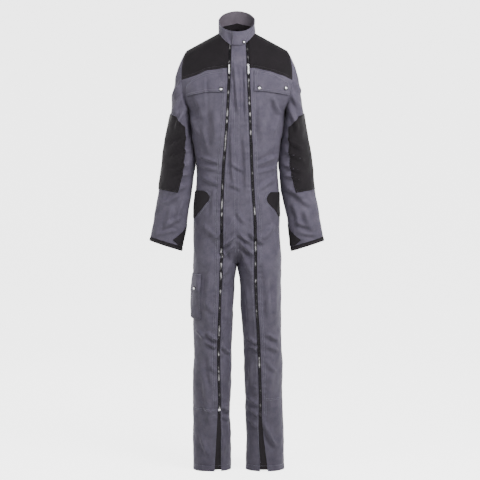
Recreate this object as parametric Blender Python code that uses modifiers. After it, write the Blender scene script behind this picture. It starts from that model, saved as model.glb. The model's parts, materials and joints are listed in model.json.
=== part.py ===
"""Boiler suit with two long front zips, filled out as it is worn, with nobody inside.

Metres, +Z up.  The front faces -Y and the wearer's left side is +X.  Heights in the tables are
above the hems; the origin is at the shoulders, where the wearer carries the suit.  Every cut piece
is a wall whose outside follows one form: a torso of rounded sections that part at the crotch into
two legs, and a tube for each sleeve.
"""
import math

import bmesh
import bpy
import numpy as np
from mathutils import Matrix

ORIGIN_HEIGHT = 1.520
WALL = 0.0012
SEAM = 0.0003
LAY = 0.0018  # clear air between a panel and what is sewn on it
PROUD = LAY + WALL  # how far the outside of a piece sewn on a panel stands off it

CROTCH = 0.735
RISE_TOP = 0.860  # where the centre seam starts to turn under
SEAM_REACH = 10  # a higher power keeps the turned seam closer to the middle
LEAN_AT_HEM = 0.0055  # the legs hang slightly to the wearer's left
SQUARENESS = 2.4  # of the torso's sections: 2 is an ellipse
LEG_SQUARENESS = 2.2

UNDERARM = 1.285
ROLL_START = 1.330  # the height at which the chest starts to round back to the shoulder
FRONT_ROLL = 2.0
BACK_ROLL = 3.0
UPPER_HALF_WIDTH = 0.230  # of the section that the shoulders are cut from
NECK_HALF_WIDTH = 0.066
NECK_FRONT = 0.077
NECK_BACK = 0.062
NECK_SIDE_HEIGHT = 1.556
SHOULDER_SLOPE = 0.543
SHOULDER_TIP = 0.179

CHANNEL = 0.0060  # half the width left open for a zip
ZIP_GAP = 0.0006
CENTRE_GAP = 0.00016
SIDE_GAP = 0.0004  # half of a seam, as a share of the way round
ARM_GAP = 0.0009
YOKE_GAP = 0.0007  # half of the seam along a yoke's lower edge
SETTLE = 6
CREST_GAP = 0.003  # half of the shoulder seam, as an angle of the rounding
MERGE = 0.00002

SLEEVE_HEAD = 0.120  # nominal length of a sleeve head, from the armhole to its first full ring
ARM_STEPS = 16  # points round an armhole and a sleeve
FRONT_COLUMNS = 7
CENTRE_COLUMNS = 4
BACK_COLUMNS = 9
NECK_COLUMNS = 4
YOKE_COLUMNS = 5
YOKE_ROWS = 4

SIDES = {"right": -1, "left": 1}

TORSO = {
    "columns": ("height", "half_width", "front", "back"),
    "rows": (
        (0.735, 0.1570, 0.104, 0.112),
        (0.790, 0.1570, 0.108, 0.118),
        (0.850, 0.1545, 0.110, 0.117),
        (0.940, 0.1525, 0.108, 0.104),
        (1.026, 0.1475, 0.106, 0.094),
        (1.085, 0.1435, 0.108, 0.094),
        (1.143, 0.1500, 0.113, 0.100),
        (1.189, 0.1600, 0.117, 0.107),
        (1.240, 0.1680, 0.121, 0.113),
        (1.285, 0.1750, 0.122, 0.117),
        (1.315, 0.2000, 0.120, 0.118),
        (1.3875, 0.2300, 0.112, 0.118),
        (1.430, 0.2300, 0.105, 0.113),
        (1.560, 0.2300, 0.105, 0.110),
    ),
}
LEG = {
    "columns": ("height", "inner", "outer", "front", "back"),
    "rows": (
        (0.000, 0.0265, 0.1635, 0.076, 0.077),
        (0.120, 0.0270, 0.1630, 0.077, 0.077),
        (0.245, 0.0260, 0.1610, 0.080, 0.078),
        (0.387, 0.0220, 0.1590, 0.084, 0.080),
        (0.490, 0.0175, 0.1575, 0.086, 0.086),
        (0.600, 0.0120, 0.1580, 0.090, 0.092),
        (0.685, 0.0080, 0.1575, 0.094, 0.099),
        (0.735, 0.0004, 0.1570, 0.098, 0.104),
    ),
}
ARMHOLE = {
    "columns": ("height", "out"),
    "rows": (
        (1.285, 0.1750),
        (1.293, 0.1775),
        (1.315, 0.1830),
        (1.348, 0.1900),
        (1.387, 0.1950),
        (1.427, 0.1950),
        (1.460, 0.1910),
        (1.482, 0.1840),
        (1.491, 0.1790),
    ),
}
ZIP_LINE = {
    "columns": ("height", "right", "left"),
    "rows": (
        (0.000, 0.0725, 0.0905),
        (0.200, 0.0670, 0.0790),
        (0.245, 0.0657, 0.0800),
        (0.351, 0.0670, 0.0780),
        (0.493, 0.0658, 0.0740),
        (0.600, 0.0600, 0.0680),
        (0.706, 0.0560, 0.0660),
        (0.813, 0.0540, 0.0660),
        (0.919, 0.0530, 0.0620),
        (1.026, 0.0500, 0.0550),
        (1.168, 0.0400, 0.0500),
        (1.310, 0.0310, 0.0440),
        (1.452, 0.0260, 0.0390),
        (1.520, 0.0240, 0.0360),
    ),
}
SLEEVE = {
    "columns": ("height", "out", "back", "half_width", "half_depth", "tilt"),
    "rows": (
        (0.800, 0.2520, -0.022, 0.0615, 0.0360, 18.0),
        (0.884, 0.2385, -0.016, 0.0590, 0.0450, 13.0),
        (0.941, 0.2300, -0.010, 0.0590, 0.0510, 11.0),
        (1.054, 0.2115, -0.002, 0.0600, 0.0600, 9.0),
        (1.143, 0.2080, 0.000, 0.0520, 0.0660, 7.0),
        (1.232, 0.2065, 0.000, 0.0370, 0.0700, 6.0),
    ),
}
YOKE_EDGE = {
    "columns": ("out", "right", "left"),
    "rows": (
        (0.020, 1.431, 1.430),
        (0.073, 1.423, 1.426),
        (0.108, 1.418, 1.419),
        (0.147, 1.402, 1.406),
        (0.195, 1.3875, 1.3875),
    ),
}
BACK_YOKE_EDGE = 1.3875
ZIP_END = {"right": 0.206, "left": 0.195}
GUSSET_HALF_WIDTH = {"right": 0.0120, "left": 0.0140}
SHIN_SEAM = {"right": 0.215, "left": 0.252}

COLLAR = {
    "half_width": 0.0640,
    "front": 0.0700,
    "back": 0.0600,
    "height": 1.5990,
    "tilt": 0.0415,
    "steps": 28,
    "gap": 0.0012,
}
ELBOW = {
    "columns": ("drop", "front"),
    "rows": ((0.104, 0.20), (0.113, 0.27), (0.128, 0.345), (0.200, 0.33), (0.280, 0.305), (0.360, 0.28)),
}
ELBOW_BACK = -0.30
ELBOW_EASE = 0.0018
CUFF_SEAM = 0.8150
CUFF_END = 0.8000
CUFF_GUSSET = {
    "columns": ("height", "half_round"),
    "rows": ((0.891, 0.012), (0.870, 0.072), (0.849, 0.135), (0.828, 0.195), (0.8165, 0.125)),
}
CHEST_FLAP = {  # distance out, top, bottom
    "right": (
        (0.0435, 1.4220, 1.3415),
        (0.0800, 1.4170, 1.3420),
        (0.1080, 1.4125, 1.3420),
        (0.1300, 1.4040, 1.3370),
        (0.1540, 1.3900, 1.3330),
        (0.1700, 1.3760, 1.3290),
        (0.1765, 1.3640, 1.3290),
    ),
    "left": (
        (0.0600, 1.4220, 1.3450),
        (0.0770, 1.4200, 1.3450),
        (0.1120, 1.4130, 1.3420),
        (0.1400, 1.4010, 1.3390),
        (0.1620, 1.3880, 1.3350),
        (0.1790, 1.3780, 1.3335),
        (0.1840, 1.3660, 1.3360),
    ),
}
HIP_FACING = {  # height, distance out of the pocket's opening
    "right": (
        (0.898, 0.1490),
        (0.915, 0.1390),
        (0.935, 0.1220),
        (0.962, 0.1010),
        (0.975, 0.0970),
        (0.990, 0.1050),
        (0.9975, 0.1170),
    ),
    "left": (
        (0.905, 0.1490),
        (0.930, 0.1340),
        (0.955, 0.1080),
        (0.970, 0.1045),
        (0.985, 0.1120),
        (0.992, 0.1200),
    ),
}
CARGO = {
    "front": 0.128,
    "back": 0.640,
    "low": 0.540,
    "high": 0.672,
    "bulge": 0.005,
    "flap_low": 0.640,
    "flap_high": 0.703,
    "flap_stand": 0.0095,
    "snap_out": 0.141,
    "snap_up": 0.012,
}
CHEST_SNAPS = (("right", 0.0550, 1.3520), ("left", 0.0780, 1.3560), ("left", 0.1700, 1.3580))
COLLAR_SNAP = 0.36
COLLAR_SLIT = 0.006
COLLAR_WALL = 0.0015
COLLAR_TAB = {
    "columns": ("up", "from", "to"),
    "rows": (
        (0.03, -0.27, 0.42),
        (0.30, -0.26, 0.46),
        (0.55, -0.25, 0.62),
        (0.80, -0.25, 0.92),
        (0.97, -0.25, 1.05),
    ),
}
LEG_ROWS = (0.0, 0.100, 0.195, 0.206, 0.215, 0.252, 0.430, 0.600, 0.685)
RISE_STEPS = 5
TORSO_ROWS = (0.910, 0.970, 1.026, 1.085, 1.143, 1.189, 1.240)
MIN_ROW = 0.004
PATCH_COLUMNS = 12
GUSSET_COLUMNS = 16
TRIM_COLUMNS = 8
SNAP_HALF = 0.004  # half the side of the small grids that carry a stud's seat
GUSSET_LIFT = 0.005  # the hem gusset stops this far above the hem
SLEEVE_HEAD_ROWS = (0.0, 0.018, 0.045, 0.080, 0.120)
SLEEVE_ROWS = (1.190, 1.143, 1.100, 1.020, 0.941, 0.884, 0.8150)
HEAD_OUT = (0.57, 0.0, -0.82)  # how the sleeve leaves the shoulder's tip
HEAD_DOWN = (0.25, 0.0, -1.0)  # and the underarm

SLIDER = {"height": 1.441, "width": 0.0090, "length": 0.0150, "depth": 0.0060, "stand": 0.0006}
PULL = {"width": 0.0050, "length": 0.0350, "depth": 0.0016, "above": 0.0009, "clear": 0.0006, "hinge": 0.0030}
ZIP_STOP = {"width": 0.0090, "length": 0.0120, "depth": 0.0030}
SNAP = {"radius": 0.0055, "depth": 0.0030, "bevel": 0.0009}
SNAP_CLEAR = 0.0006

COLOURS = {
    "grey": (0.120, 0.112, 0.160, 1.0),
    "black": (0.022, 0.019, 0.022, 1.0),
    "tape": (0.010, 0.010, 0.012, 1.0),
    "steel": (0.600, 0.600, 0.620, 1.0),
}


def read(table, column, at):
    """A named column at the places in `at`: a smooth cubic through the table's rows."""
    rows = np.array(table["rows"])
    x = rows[:, 0]
    y = rows[:, table["columns"].index(column)]
    at = np.clip(np.asarray(at, float), x[0], x[-1])
    slope = np.gradient(y, x)
    i = np.clip(np.searchsorted(x, at, side="right") - 1, 0, len(x) - 2)
    step = x[i + 1] - x[i]
    t = (at - x[i]) / step
    start = (1 + 2 * t) * (1 - t) ** 2 * y[i] + t * (1 - t) ** 2 * step * slope[i]
    end = t * t * (3 - 2 * t) * y[i + 1] + t * t * (t - 1) * step * slope[i + 1]
    return start + end


def shoulder(x):
    """Height of the shoulder's crest at a distance x from the middle."""
    return NECK_SIDE_HEIGHT - SHOULDER_SLOPE * (np.abs(x) - NECK_HALF_WIDTH)


def power(base, exponent):
    return np.clip(base, 0.0, None) ** exponent


def rise(u, z):
    """0 above the rise and 1 from the crotch down: how far a section has parted into legs.

    The centre seam turns under on a quarter circle, while the outside of the hip eases over.
    """
    t = np.clip((RISE_TOP - z) / (RISE_TOP - CROTCH), 0.0, 1.0)
    seam = 1.0 - np.sqrt(1.0 - t * t)
    ease = t * t * (3.0 - 2.0 * t)
    near_seam = np.abs(np.cos(math.pi * u)) ** SEAM_REACH
    return ease + (seam - ease) * near_seam


def body(side, u, z):
    """Points of the outside: u runs 0 to 1 from the front centre round the side to the back centre.

    Above the rise a section is a superellipse.  Below the crotch it is a leg's closed ring, which
    starts and ends at the inseam, and between them it is a blend of the two.  Above ROLL_START the
    depth rounds off to nothing at the shoulder's crest.
    """
    u, z = np.broadcast_arrays(np.asarray(u, float), np.asarray(z, float))
    turn = math.pi * u
    front = u <= 0.5
    power_out = 2.0 / SQUARENESS
    out = read(TORSO, "half_width", z) * power(np.sin(turn), power_out)
    depth = np.where(front, -read(TORSO, "front", z), read(TORSO, "back", z))
    deep = depth * np.abs(np.cos(turn)) ** power_out
    roll = np.where(front, FRONT_ROLL, BACK_ROLL)
    up = np.clip((z - ROLL_START) / (shoulder(out) - ROLL_START), 0.0, 1.0)
    deep = deep * power(1.0 - up**roll, 1.0 / roll)

    leg_power = 2.0 / LEG_SQUARENESS
    inner, outer = read(LEG, "inner", z), read(LEG, "outer", z)
    across = np.cos(2 * turn)
    leg_out = (inner + outer) / 2 - (outer - inner) / 2 * np.sign(across) * power(np.abs(across), leg_power)
    leg_depth = np.where(front, -read(LEG, "front", z), read(LEG, "back", z))
    leg_deep = leg_depth * power(np.abs(np.sin(2 * turn)), leg_power)

    parted = rise(u, z)
    out = out + parted * (leg_out - out)
    deep = deep + parted * (leg_deep - deep)
    lean = LEAN_AT_HEM * np.clip(1.0 - z / CROTCH, 0.0, 1.0)
    return np.stack([side * out + lean, deep, z - ORIGIN_HEIGHT], axis=-1)


def across_at(x, z, back=False):
    """The u at which the outside is x from the middle, at height z, on the front or the back."""
    u = np.linspace(0.0, 0.5, 241)
    x, z = np.broadcast_arrays(np.asarray(x, float), np.asarray(z, float))
    found = np.empty(x.shape)
    for place in np.ndindex(x.shape):
        lean = LEAN_AT_HEM * max(0.0, 1.0 - z[place] / CROTCH)
        outs = body(1, 1 - u if back else u, z[place])[:, 0] - lean
        found[place] = np.interp(x[place], outs, u)
    return 1.0 - found if back else found


def neck(x, back=False):
    """Height of the neckline at a distance x from the middle: an ellipse in plan, on the outside."""
    depth, roll, reach = (
        (read(TORSO, "back", 1.56), BACK_ROLL, NECK_BACK)
        if back
        else (read(TORSO, "front", 1.56), FRONT_ROLL, NECK_FRONT)
    )
    x = np.clip(np.abs(x), 0.0, NECK_HALF_WIDTH)
    y = reach * np.sqrt(1.0 - (x / NECK_HALF_WIDTH) ** 2)
    full = depth * (1.0 - (x / UPPER_HALF_WIDTH) ** SQUARENESS) ** (1.0 / SQUARENESS)
    up = (1.0 - (y / full) ** roll) ** (1.0 / roll)
    return ROLL_START + up * (shoulder(x) - ROLL_START)


def arm_heights():
    """Heights of the armhole's points, from the underarm up to the shoulder's tip."""
    top = shoulder(SHOULDER_TIP)
    turn = np.linspace(math.pi, 0.0, ARM_STEPS // 2 + 1)
    return (top + UNDERARM) / 2 + (top - UNDERARM) / 2 * np.cos(turn)


MID_ARM = float(arm_heights()[ARM_STEPS // 4])


def turn_at(x, z):
    """The u of a point of the upper front that is x from the middle."""
    return np.arcsin(np.clip(x / read(TORSO, "half_width", z), 0.0, 1.0) ** (SQUARENESS / 2)) / math.pi


def arm_edge(z, back=False):
    """The u of the armhole's edge at the heights z."""
    edge = turn_at(read(ARMHOLE, "out", z), z)
    return 1.0 - edge if back else edge


def lift_off(side, grid, lift, closed=False):
    """The same grid moved out along its own normals, found from neighbouring points."""
    if closed:
        along = np.roll(grid, -1, axis=1) - np.roll(grid, 1, axis=1)
    else:
        along = np.gradient(grid, axis=1)
    normal = np.cross(along, np.gradient(grid, axis=0)) * side
    normal /= np.maximum(np.linalg.norm(normal, axis=-1, keepdims=True), 1e-9)
    return grid + normal * np.broadcast_to(lift, grid.shape[:2])[..., None]


def material(name, colour):
    made = bpy.data.materials.new(name)
    made.use_nodes = True
    shader = made.node_tree.nodes["Principled BSDF"]
    shader.inputs["Base Color"].default_value = COLOURS[colour]
    shader.inputs["Metallic"].default_value = 1.0 if colour == "steel" else 0.0
    shader.inputs["Roughness"].default_value = 0.3 if colour == "steel" else 0.85
    return made


def wall(name, grids, colour, closed=False, depth=WALL):
    """A named wall from grids of points on its outside, whose rows and columns turn faces outwards."""
    vertices, faces = [], []
    for grid in grids:
        rows, columns = grid.shape[:2]
        start = len(vertices)
        vertices += [tuple(point) for point in grid.reshape(-1, 3)]
        for i in range(rows - 1):
            for j in range(columns if closed else columns - 1):
                here = start + i * columns + j
                beside = start + i * columns + (j + 1) % columns
                faces.append((here, beside, beside + columns, here + columns))
    mesh = bpy.data.meshes.new(name)
    mesh.from_pydata(vertices, [], faces)
    work = bmesh.new()
    work.from_mesh(mesh)
    bmesh.ops.remove_doubles(work, verts=work.verts, dist=MERGE)
    work.to_mesh(mesh)
    work.free()
    mesh.shade_smooth()
    mesh.materials.append(material(name, colour))
    piece = bpy.data.objects.new(name, mesh)
    suit.objects.link(piece)
    thicken = piece.modifiers.new("wall", "SOLIDIFY")
    thicken.thickness = depth
    thicken.offset = -1.0
    return piece


def facing_out(side, grid):
    """A grid whose columns run away from the middle, turned so that its faces point out."""
    return grid if side > 0 else grid[:, ::-1]


def spread(low, high, steps):
    """Columns from the values low to the values high, one row for each pair."""
    share = np.linspace(0.0, 1.0, steps + 1)
    return np.asarray(low)[:, None] * (1 - share) + np.asarray(high)[:, None] * share


def rise_rows():
    """Heights through the rise, close together near the crotch, where the seam turns under."""
    turn = np.linspace(math.pi / 2, 0.0, RISE_STEPS + 1)
    return RISE_TOP - (RISE_TOP - CROTCH) * np.sin(turn)


def main_rows(low, high):
    """The heights that the pieces of the fronts and backs share between low and high."""
    rows = np.array([*LEG_ROWS, *rise_rows(), *TORSO_ROWS])
    inside = rows[(rows > low + MIN_ROW) & (rows < high - MIN_ROW)]
    return np.array([low, *inside, high])


def chest_rows(top):
    """Heights from the underarm up to the values top, at the armhole's own points."""
    heights = arm_heights()[: ARM_STEPS // 4 + 1]
    share = (heights - heights[0]) / (heights[-1] - heights[0])
    return UNDERARM + share[1:, None] * (np.asarray(top) - UNDERARM)


def zip_edge(name, z, outwards):
    """The u of a panel's edge beside the zip or gusset: outwards is 1 on its far side, -1 on its near."""
    widening = np.clip(1.0 - z / ZIP_END[name], 0.0, 1.0)
    half = CHANNEL + (GUSSET_HALF_WIDTH[name] - CHANNEL) * widening
    return across_at(read(ZIP_LINE, name, z) + outwards * half, z)


def front(name, side):
    """A front, from the zip to the side seam and from the shin seam up to the yoke."""
    rows = main_rows(SHIN_SEAM[name] + SEAM, UNDERARM)
    u = spread(zip_edge(name, rows, 1), np.full(len(rows), 0.5 - SIDE_GAP), FRONT_COLUMNS)
    lower = body(side, u, rows[:, None])
    at_zip, at_arm = float(read(ZIP_LINE, name, MID_ARM)), float(read(ARMHOLE, "out", MID_ARM))
    out = np.linspace(at_zip, at_arm, FRONT_COLUMNS + 1)
    for _ in range(SETTLE):  # the edge's height and each column's place along it, in turn
        heights = chest_rows(read(YOKE_EDGE, name, out) - YOKE_GAP)
        u = spread(zip_edge(name, heights[:, 0], 1), arm_edge(heights[:, -1]), FRONT_COLUMNS)
        out = np.abs(body(side, u[-1], heights[-1])[:, 0])
    wall(f"front_{name}", [facing_out(side, np.concatenate([lower, body(side, u, heights)]))], "grey")


def shin(name, side):
    """The lower part of a front, below the shin seam."""
    rows = main_rows(0.0, SHIN_SEAM[name])
    u = spread(zip_edge(name, rows, 1), np.full(len(rows), 0.5 - SIDE_GAP), FRONT_COLUMNS)
    wall(f"shin_{name}", [facing_out(side, body(side, u, rows[:, None]))], "grey")


def roll_angle(x, z, roll):
    """How far round the shoulder a point is, as an angle: a quarter turn is the crest."""
    up = np.clip((z - ROLL_START) / (shoulder(x) - ROLL_START), 0.0, 1.0)
    return np.arcsin(up ** (roll / 2))


def roll_height(x, turn, roll):
    return ROLL_START + np.sin(turn) ** (2 / roll) * (shoulder(x) - ROLL_START)


def front_centre():
    """The strip between the zips and both inner legs, in one piece, slit from the rise down."""
    grids = []
    for name, side in SIDES.items():
        low = np.concatenate([main_rows(0.0, UNDERARM), [ROLL_START]])
        share = np.linspace(0.0, 1.0, CENTRE_COLUMNS + 1)
        x = (read(ZIP_LINE, name, neck(0.0)) - CHANNEL) * share
        top = roll_angle(x, neck(x), FRONT_ROLL)
        upper = roll_height(x, np.linspace(0.0, 1.0, YOKE_ROWS + 2)[1:, None] * top, FRONT_ROLL)
        z = np.concatenate([np.tile(low[:, None], len(share)), upper])
        u = spread(np.zeros(len(z)), zip_edge(name, z[:, -1], -1), CENTRE_COLUMNS)
        leg = z[:, 0] < CROTCH + MERGE
        u[leg] += SIDE_GAP * (1 - share)
        grid = body(side, u, z)
        slit = (z[:, 0] < RISE_TOP - MERGE) & ~leg
        grid[slit, 0, 0] = side * CENTRE_GAP
        grids.append(facing_out(side, grid))
    wall("front_centre", grids, "grey")


def zip_tape(name, side):
    """A closed zip, from its end above the hem up to the neckline."""
    x = float(read(ZIP_LINE, name, neck(0.0)))
    turn = np.linspace(0.0, float(roll_angle(x, neck(x - CHANNEL), FRONT_ROLL)), YOKE_ROWS + 2)
    upper = roll_height(x, turn, FRONT_ROLL)
    rows = np.concatenate([main_rows(ZIP_END[name] + SEAM, UNDERARM), upper])
    line = read(ZIP_LINE, name, rows)
    edges = [across_at(line + way * (CHANNEL - ZIP_GAP), rows) for way in (-1, 1)]
    wall(f"zip_{name}", [facing_out(side, body(side, np.stack(edges, axis=1), rows[:, None]))], "tape")


def hem_gusset(name, side):
    """The dark wedge that widens the hem below the zip's end, a little short of the hem."""
    rows = main_rows(GUSSET_LIFT, ZIP_END[name])
    gap = 3 * SIDE_GAP
    u = spread(zip_edge(name, rows, -1) + gap, zip_edge(name, rows, 1) - gap, 2)
    wall(f"hem_gusset_{name}", [facing_out(side, body(side, u, rows[:, None]))], "black")


def back(name, side):
    """A back, from the side seam to the centre back seam and the inseam, up to the yoke."""
    rows = main_rows(0.0, UNDERARM)
    far = np.where(rows < CROTCH + MERGE, 1.0 - SIDE_GAP, 1.0)
    u = spread(np.full(len(rows), 0.5 + SIDE_GAP), far, BACK_COLUMNS)
    lower = body(side, u, rows[:, None])
    lower[rows > CROTCH + MERGE, -1, 0] = side * CENTRE_GAP
    heights = chest_rows(np.full(BACK_COLUMNS + 1, BACK_YOKE_EDGE - YOKE_GAP))
    u = spread(arm_edge(heights[:, 0], back=True), np.ones(len(heights)), BACK_COLUMNS)
    upper = body(side, u, heights)
    upper[:, -1, 0] = side * CENTRE_GAP
    wall(f"back_{name}", [facing_out(side, np.concatenate([lower, upper]))], "grey")


def yoke(side, start, low_edge, on_back):
    """Points of a yoke, from its lower edge over the rounding of the shoulder to neckline and crest.

    start is the distance from the middle of its inner edge, below and above.  Columns gather near
    the neck's side; rows are at the armhole's own points.
    """
    roll = BACK_ROLL if on_back else FRONT_ROLL
    low_start, top_start = start
    low_end = float(read(ARMHOLE, "out", MID_ARM))
    bend = (NECK_HALF_WIDTH - top_start) / (SHOULDER_TIP - top_start)
    gather = np.sin(np.linspace(0.0, math.pi / 2, NECK_COLUMNS + 1))
    share = np.concatenate([bend * gather, np.linspace(bend, 1.0, YOKE_COLUMNS + 1)[1:]])
    low_x = low_start + share * (low_end - low_start)
    top_x = top_start + share * (SHOULDER_TIP - top_start)
    top_z = np.where(top_x < NECK_HALF_WIDTH - MERGE, neck(top_x, on_back), shoulder(top_x))
    arm = arm_heights()[ARM_STEPS // 4 :]
    out = read(ARMHOLE, "out", arm)
    edge = roll_angle(out, arm, roll)
    level = ((edge - edge[0]) / (edge[-1] - edge[0]))[:, None]
    low_turn = roll_angle(low_x, low_edge(low_x) + YOKE_GAP, roll)
    top_turn = np.minimum(roll_angle(top_x, top_z, roll), math.pi / 2 - CREST_GAP)
    turn = low_turn + level * (top_turn - low_turn)
    near = low_start + level * (top_start - low_start)
    x = near + share * (out[:, None] - near)
    z = roll_height(x, turn, roll)
    u = turn_at(x, z)
    return body(side, 1.0 - u if on_back else u, z)


def front_yoke(name, side):
    """The dark shoulder panel in front, from the yoke edge to the shoulder seam."""
    start = [float(read(ZIP_LINE, name, height)) + CHANNEL for height in (1.43, neck(0.03))]
    grid = yoke(side, start, lambda x: read(YOKE_EDGE, name, x), False)
    wall(f"yoke_front_{name}", [facing_out(side, grid)], "black")


def back_yoke():
    """The dark shoulder panel behind, in one piece."""
    grids = []
    for side in SIDES.values():
        grid = yoke(side, (0.0, 0.0), lambda x: np.full(len(x), BACK_YOKE_EDGE), True)
        grids.append(facing_out(-side, grid))
    wall("yoke_back", grids, "black")


def armhole(side, v):
    """Points of the armhole: v runs 0 to 1 from the shoulder's tip down the front and up the back."""
    top = shoulder(SHOULDER_TIP)
    z = (top + UNDERARM) / 2 + (top - UNDERARM) / 2 * np.cos(2 * math.pi * v)
    u = turn_at(read(ARMHOLE, "out", z), z)
    u = np.where(np.mod(v, 1.0) > 0.5, 1.0 - u, u)
    points = body(side, u, z)
    points[..., 0] += side * ARM_GAP
    return points


def ring(side, v, height):
    """Points of the sleeve's tilted ellipses below its head."""
    turn = 2 * math.pi * v
    tilt = np.radians(read(SLEEVE, "tilt", height))
    across = read(SLEEVE, "half_width", height) * np.cos(turn)
    x = side * (read(SLEEVE, "out", height) + across * np.cos(tilt))
    y = read(SLEEVE, "back", height) - read(SLEEVE, "half_depth", height) * np.sin(turn)
    z = height + across * np.sin(tilt) - ORIGIN_HEIGHT
    return np.stack(np.broadcast_arrays(x, y, z), axis=-1)


def sleeve(side, v, drop):
    """Points of a sleeve: v round it as in armhole(), drop down it in metres from the armhole.

    The head is a cubic from the armhole, which it leaves along the shoulder's slope on top and
    straight down at the underarm, to the first full ring.  Below it are the rings.
    """
    v, drop = np.broadcast_arrays(np.asarray(v, float), np.asarray(drop, float))
    t = np.clip(drop / SLEEVE_HEAD, 0.0, 1.0)[..., None]
    first = SLEEVE["rows"][-1][0]
    start = armhole(side, v)
    end = ring(side, v, np.full(v.shape, first))
    reach = np.linalg.norm(end - start, axis=-1, keepdims=True)
    top = (1 + np.cos(2 * math.pi * v))[..., None] / 2
    away = top * np.array(HEAD_OUT) + (1 - top) * np.array(HEAD_DOWN)
    away = away / np.linalg.norm(away, axis=-1, keepdims=True) * np.array((side, 1, 1))
    down = ring(side, v, np.full(v.shape, first - 0.01)) - ring(side, v, np.full(v.shape, first))
    down = down / np.linalg.norm(down, axis=-1, keepdims=True)
    head = (1 + 2 * t) * (1 - t) ** 2 * start + t * (1 - t) ** 2 * reach * away
    head = head + t * t * (3 - 2 * t) * end + t * t * (t - 1) * reach * down
    rings = ring(side, v, np.minimum(first, first - (drop - SLEEVE_HEAD)))
    return np.where(drop[..., None] > SLEEVE_HEAD, rings, head)


def drop_at(height):
    """The drop of the sleeve's ring whose middle is at this height."""
    return SLEEVE_HEAD + SLEEVE["rows"][-1][0] - height


def sleeve_tube(name, side):
    drops = np.array([*SLEEVE_HEAD_ROWS, *(drop_at(height) for height in SLEEVE_ROWS)])
    v = np.arange(ARM_STEPS) / ARM_STEPS
    grid = sleeve(side, v, drops[:, None])
    wall(f"sleeve_{name}", [facing_out(side, grid)], "grey", closed=True)


def cuff(name, side):
    """The dark band that binds the sleeve's end."""
    drops = np.array([drop_at(CUFF_SEAM - SEAM), drop_at(CUFF_END)])
    v = np.arange(ARM_STEPS) / ARM_STEPS
    wall(f"cuff_{name}", [facing_out(side, sleeve(side, v, drops[:, None]))], "black", closed=True)


def refined(rows, parts):
    """A table's rows with `parts` even steps between each two of them."""
    rows = np.array(rows)
    at = np.linspace(0.0, len(rows) - 1.0, parts * (len(rows) - 1) + 1)
    return np.stack([np.interp(at, np.arange(len(rows)), column) for column in rows.T], axis=1)


def elbow_patch(name, side):
    """The dark patch over the outer back of the elbow."""
    rows = refined(ELBOW["rows"], 2)
    v = spread(np.full(len(rows), ELBOW_BACK), rows[:, 1], PATCH_COLUMNS)
    grid = lift_off(side, sleeve(side, v, rows[:, :1]), PROUD + ELBOW_EASE)
    wall(f"elbow_patch_{name}", [facing_out(side, grid)], "black")


def cuff_gusset(name, side):
    """The dark diamond set in the inner side of the sleeve's end."""
    rows = np.array(CUFF_GUSSET["rows"])
    v = spread(0.5 - rows[:, 1], 0.5 + rows[:, 1], GUSSET_COLUMNS)
    grid = lift_off(side, sleeve(side, v, drop_at(rows[:, :1])), PROUD)
    wall(f"cuff_gusset_{name}", [facing_out(side, grid)], "black")


def chest_flap(name, side):
    """The shaped flap over the set-in chest pocket."""
    rows = refined(CHEST_FLAP[name], 2)
    share = np.linspace(0.0, 1.0, 5)[:, None]
    z = rows[:, 2] + share * (rows[:, 1] - rows[:, 2])
    u = across_at(np.broadcast_to(rows[:, 0], z.shape), z)
    wall(f"chest_flap_{name}", [facing_out(side, lift_off(side, body(side, u, z), PROUD))], "grey")


def hip_facing(name, side):
    """The dark facing of the slanted hip pocket, from the opening to the side seam."""
    rows = np.array(HIP_FACING[name])
    u = spread(across_at(rows[:, 1], rows[:, 0]), np.full(len(rows), 0.5 - 6 * SIDE_GAP), TRIM_COLUMNS)
    grid = lift_off(side, body(side, u, rows[:, :1]), PROUD)
    wall(f"hip_facing_{name}", [facing_out(side, grid)], "black")


def cargo(name, side):
    """The bellows pocket and its flap on the side of the thigh: each bulges off the panel."""
    size = CARGO
    z = np.linspace(size["low"], size["high"], 6)
    u = spread(across_at(np.full(6, size["front"]), z), np.full(6, size["back"]), TRIM_COLUMNS)
    hump = np.outer(np.sin(math.pi * np.linspace(0, 1, 6)), np.sin(math.pi * np.linspace(0, 1, 9)))
    lift = PROUD + size["bulge"] * np.sqrt(np.clip(hump, 0, None))
    grid = lift_off(side, body(side, u, z[:, None]), lift)
    wall("cargo_pocket", [facing_out(side, grid)], "grey")

    z = np.linspace(size["flap_low"], size["flap_high"], 4)
    u = spread(across_at(np.full(4, size["front"] - 0.002), z), np.full(4, size["back"] + 0.005), TRIM_COLUMNS)
    lift = PROUD + size["flap_stand"] * np.linspace(1.0, 0.0, 4)[:, None]
    grid = lift_off(side, body(side, u, z[:, None]), np.broadcast_to(lift, (4, 9)))
    wall("cargo_flap", [facing_out(side, grid)], "grey")


def collar_points(round_, up):
    """Points of the collar: round_ is an angle from the front centre, up runs 0 to 1 to the top edge.

    The foot is the neckline; the top edge is an ellipse that tilts down towards the front.
    """
    forward = np.cos(round_)
    x = NECK_HALF_WIDTH * np.sin(round_)
    y = np.where(forward > 0, -NECK_FRONT, NECK_BACK) * np.abs(forward)
    z = np.where(forward > 0, neck(x), neck(x, True))
    foot = np.stack([x, y, z - ORIGIN_HEIGHT], axis=-1)
    top_x = COLLAR["half_width"] * np.sin(round_)
    top_y = np.where(forward > 0, -COLLAR["front"], COLLAR["back"]) * np.abs(forward)
    top_z = COLLAR["height"] - COLLAR["tilt"] * forward - ORIGIN_HEIGHT
    top = np.stack([top_x, top_y, top_z], axis=-1)
    tall = np.linalg.norm(top - foot, axis=-1)
    share = (COLLAR["gap"] / tall + up * (1 - COLLAR["gap"] / tall))[..., None]
    return foot + (top - foot) * share


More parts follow.
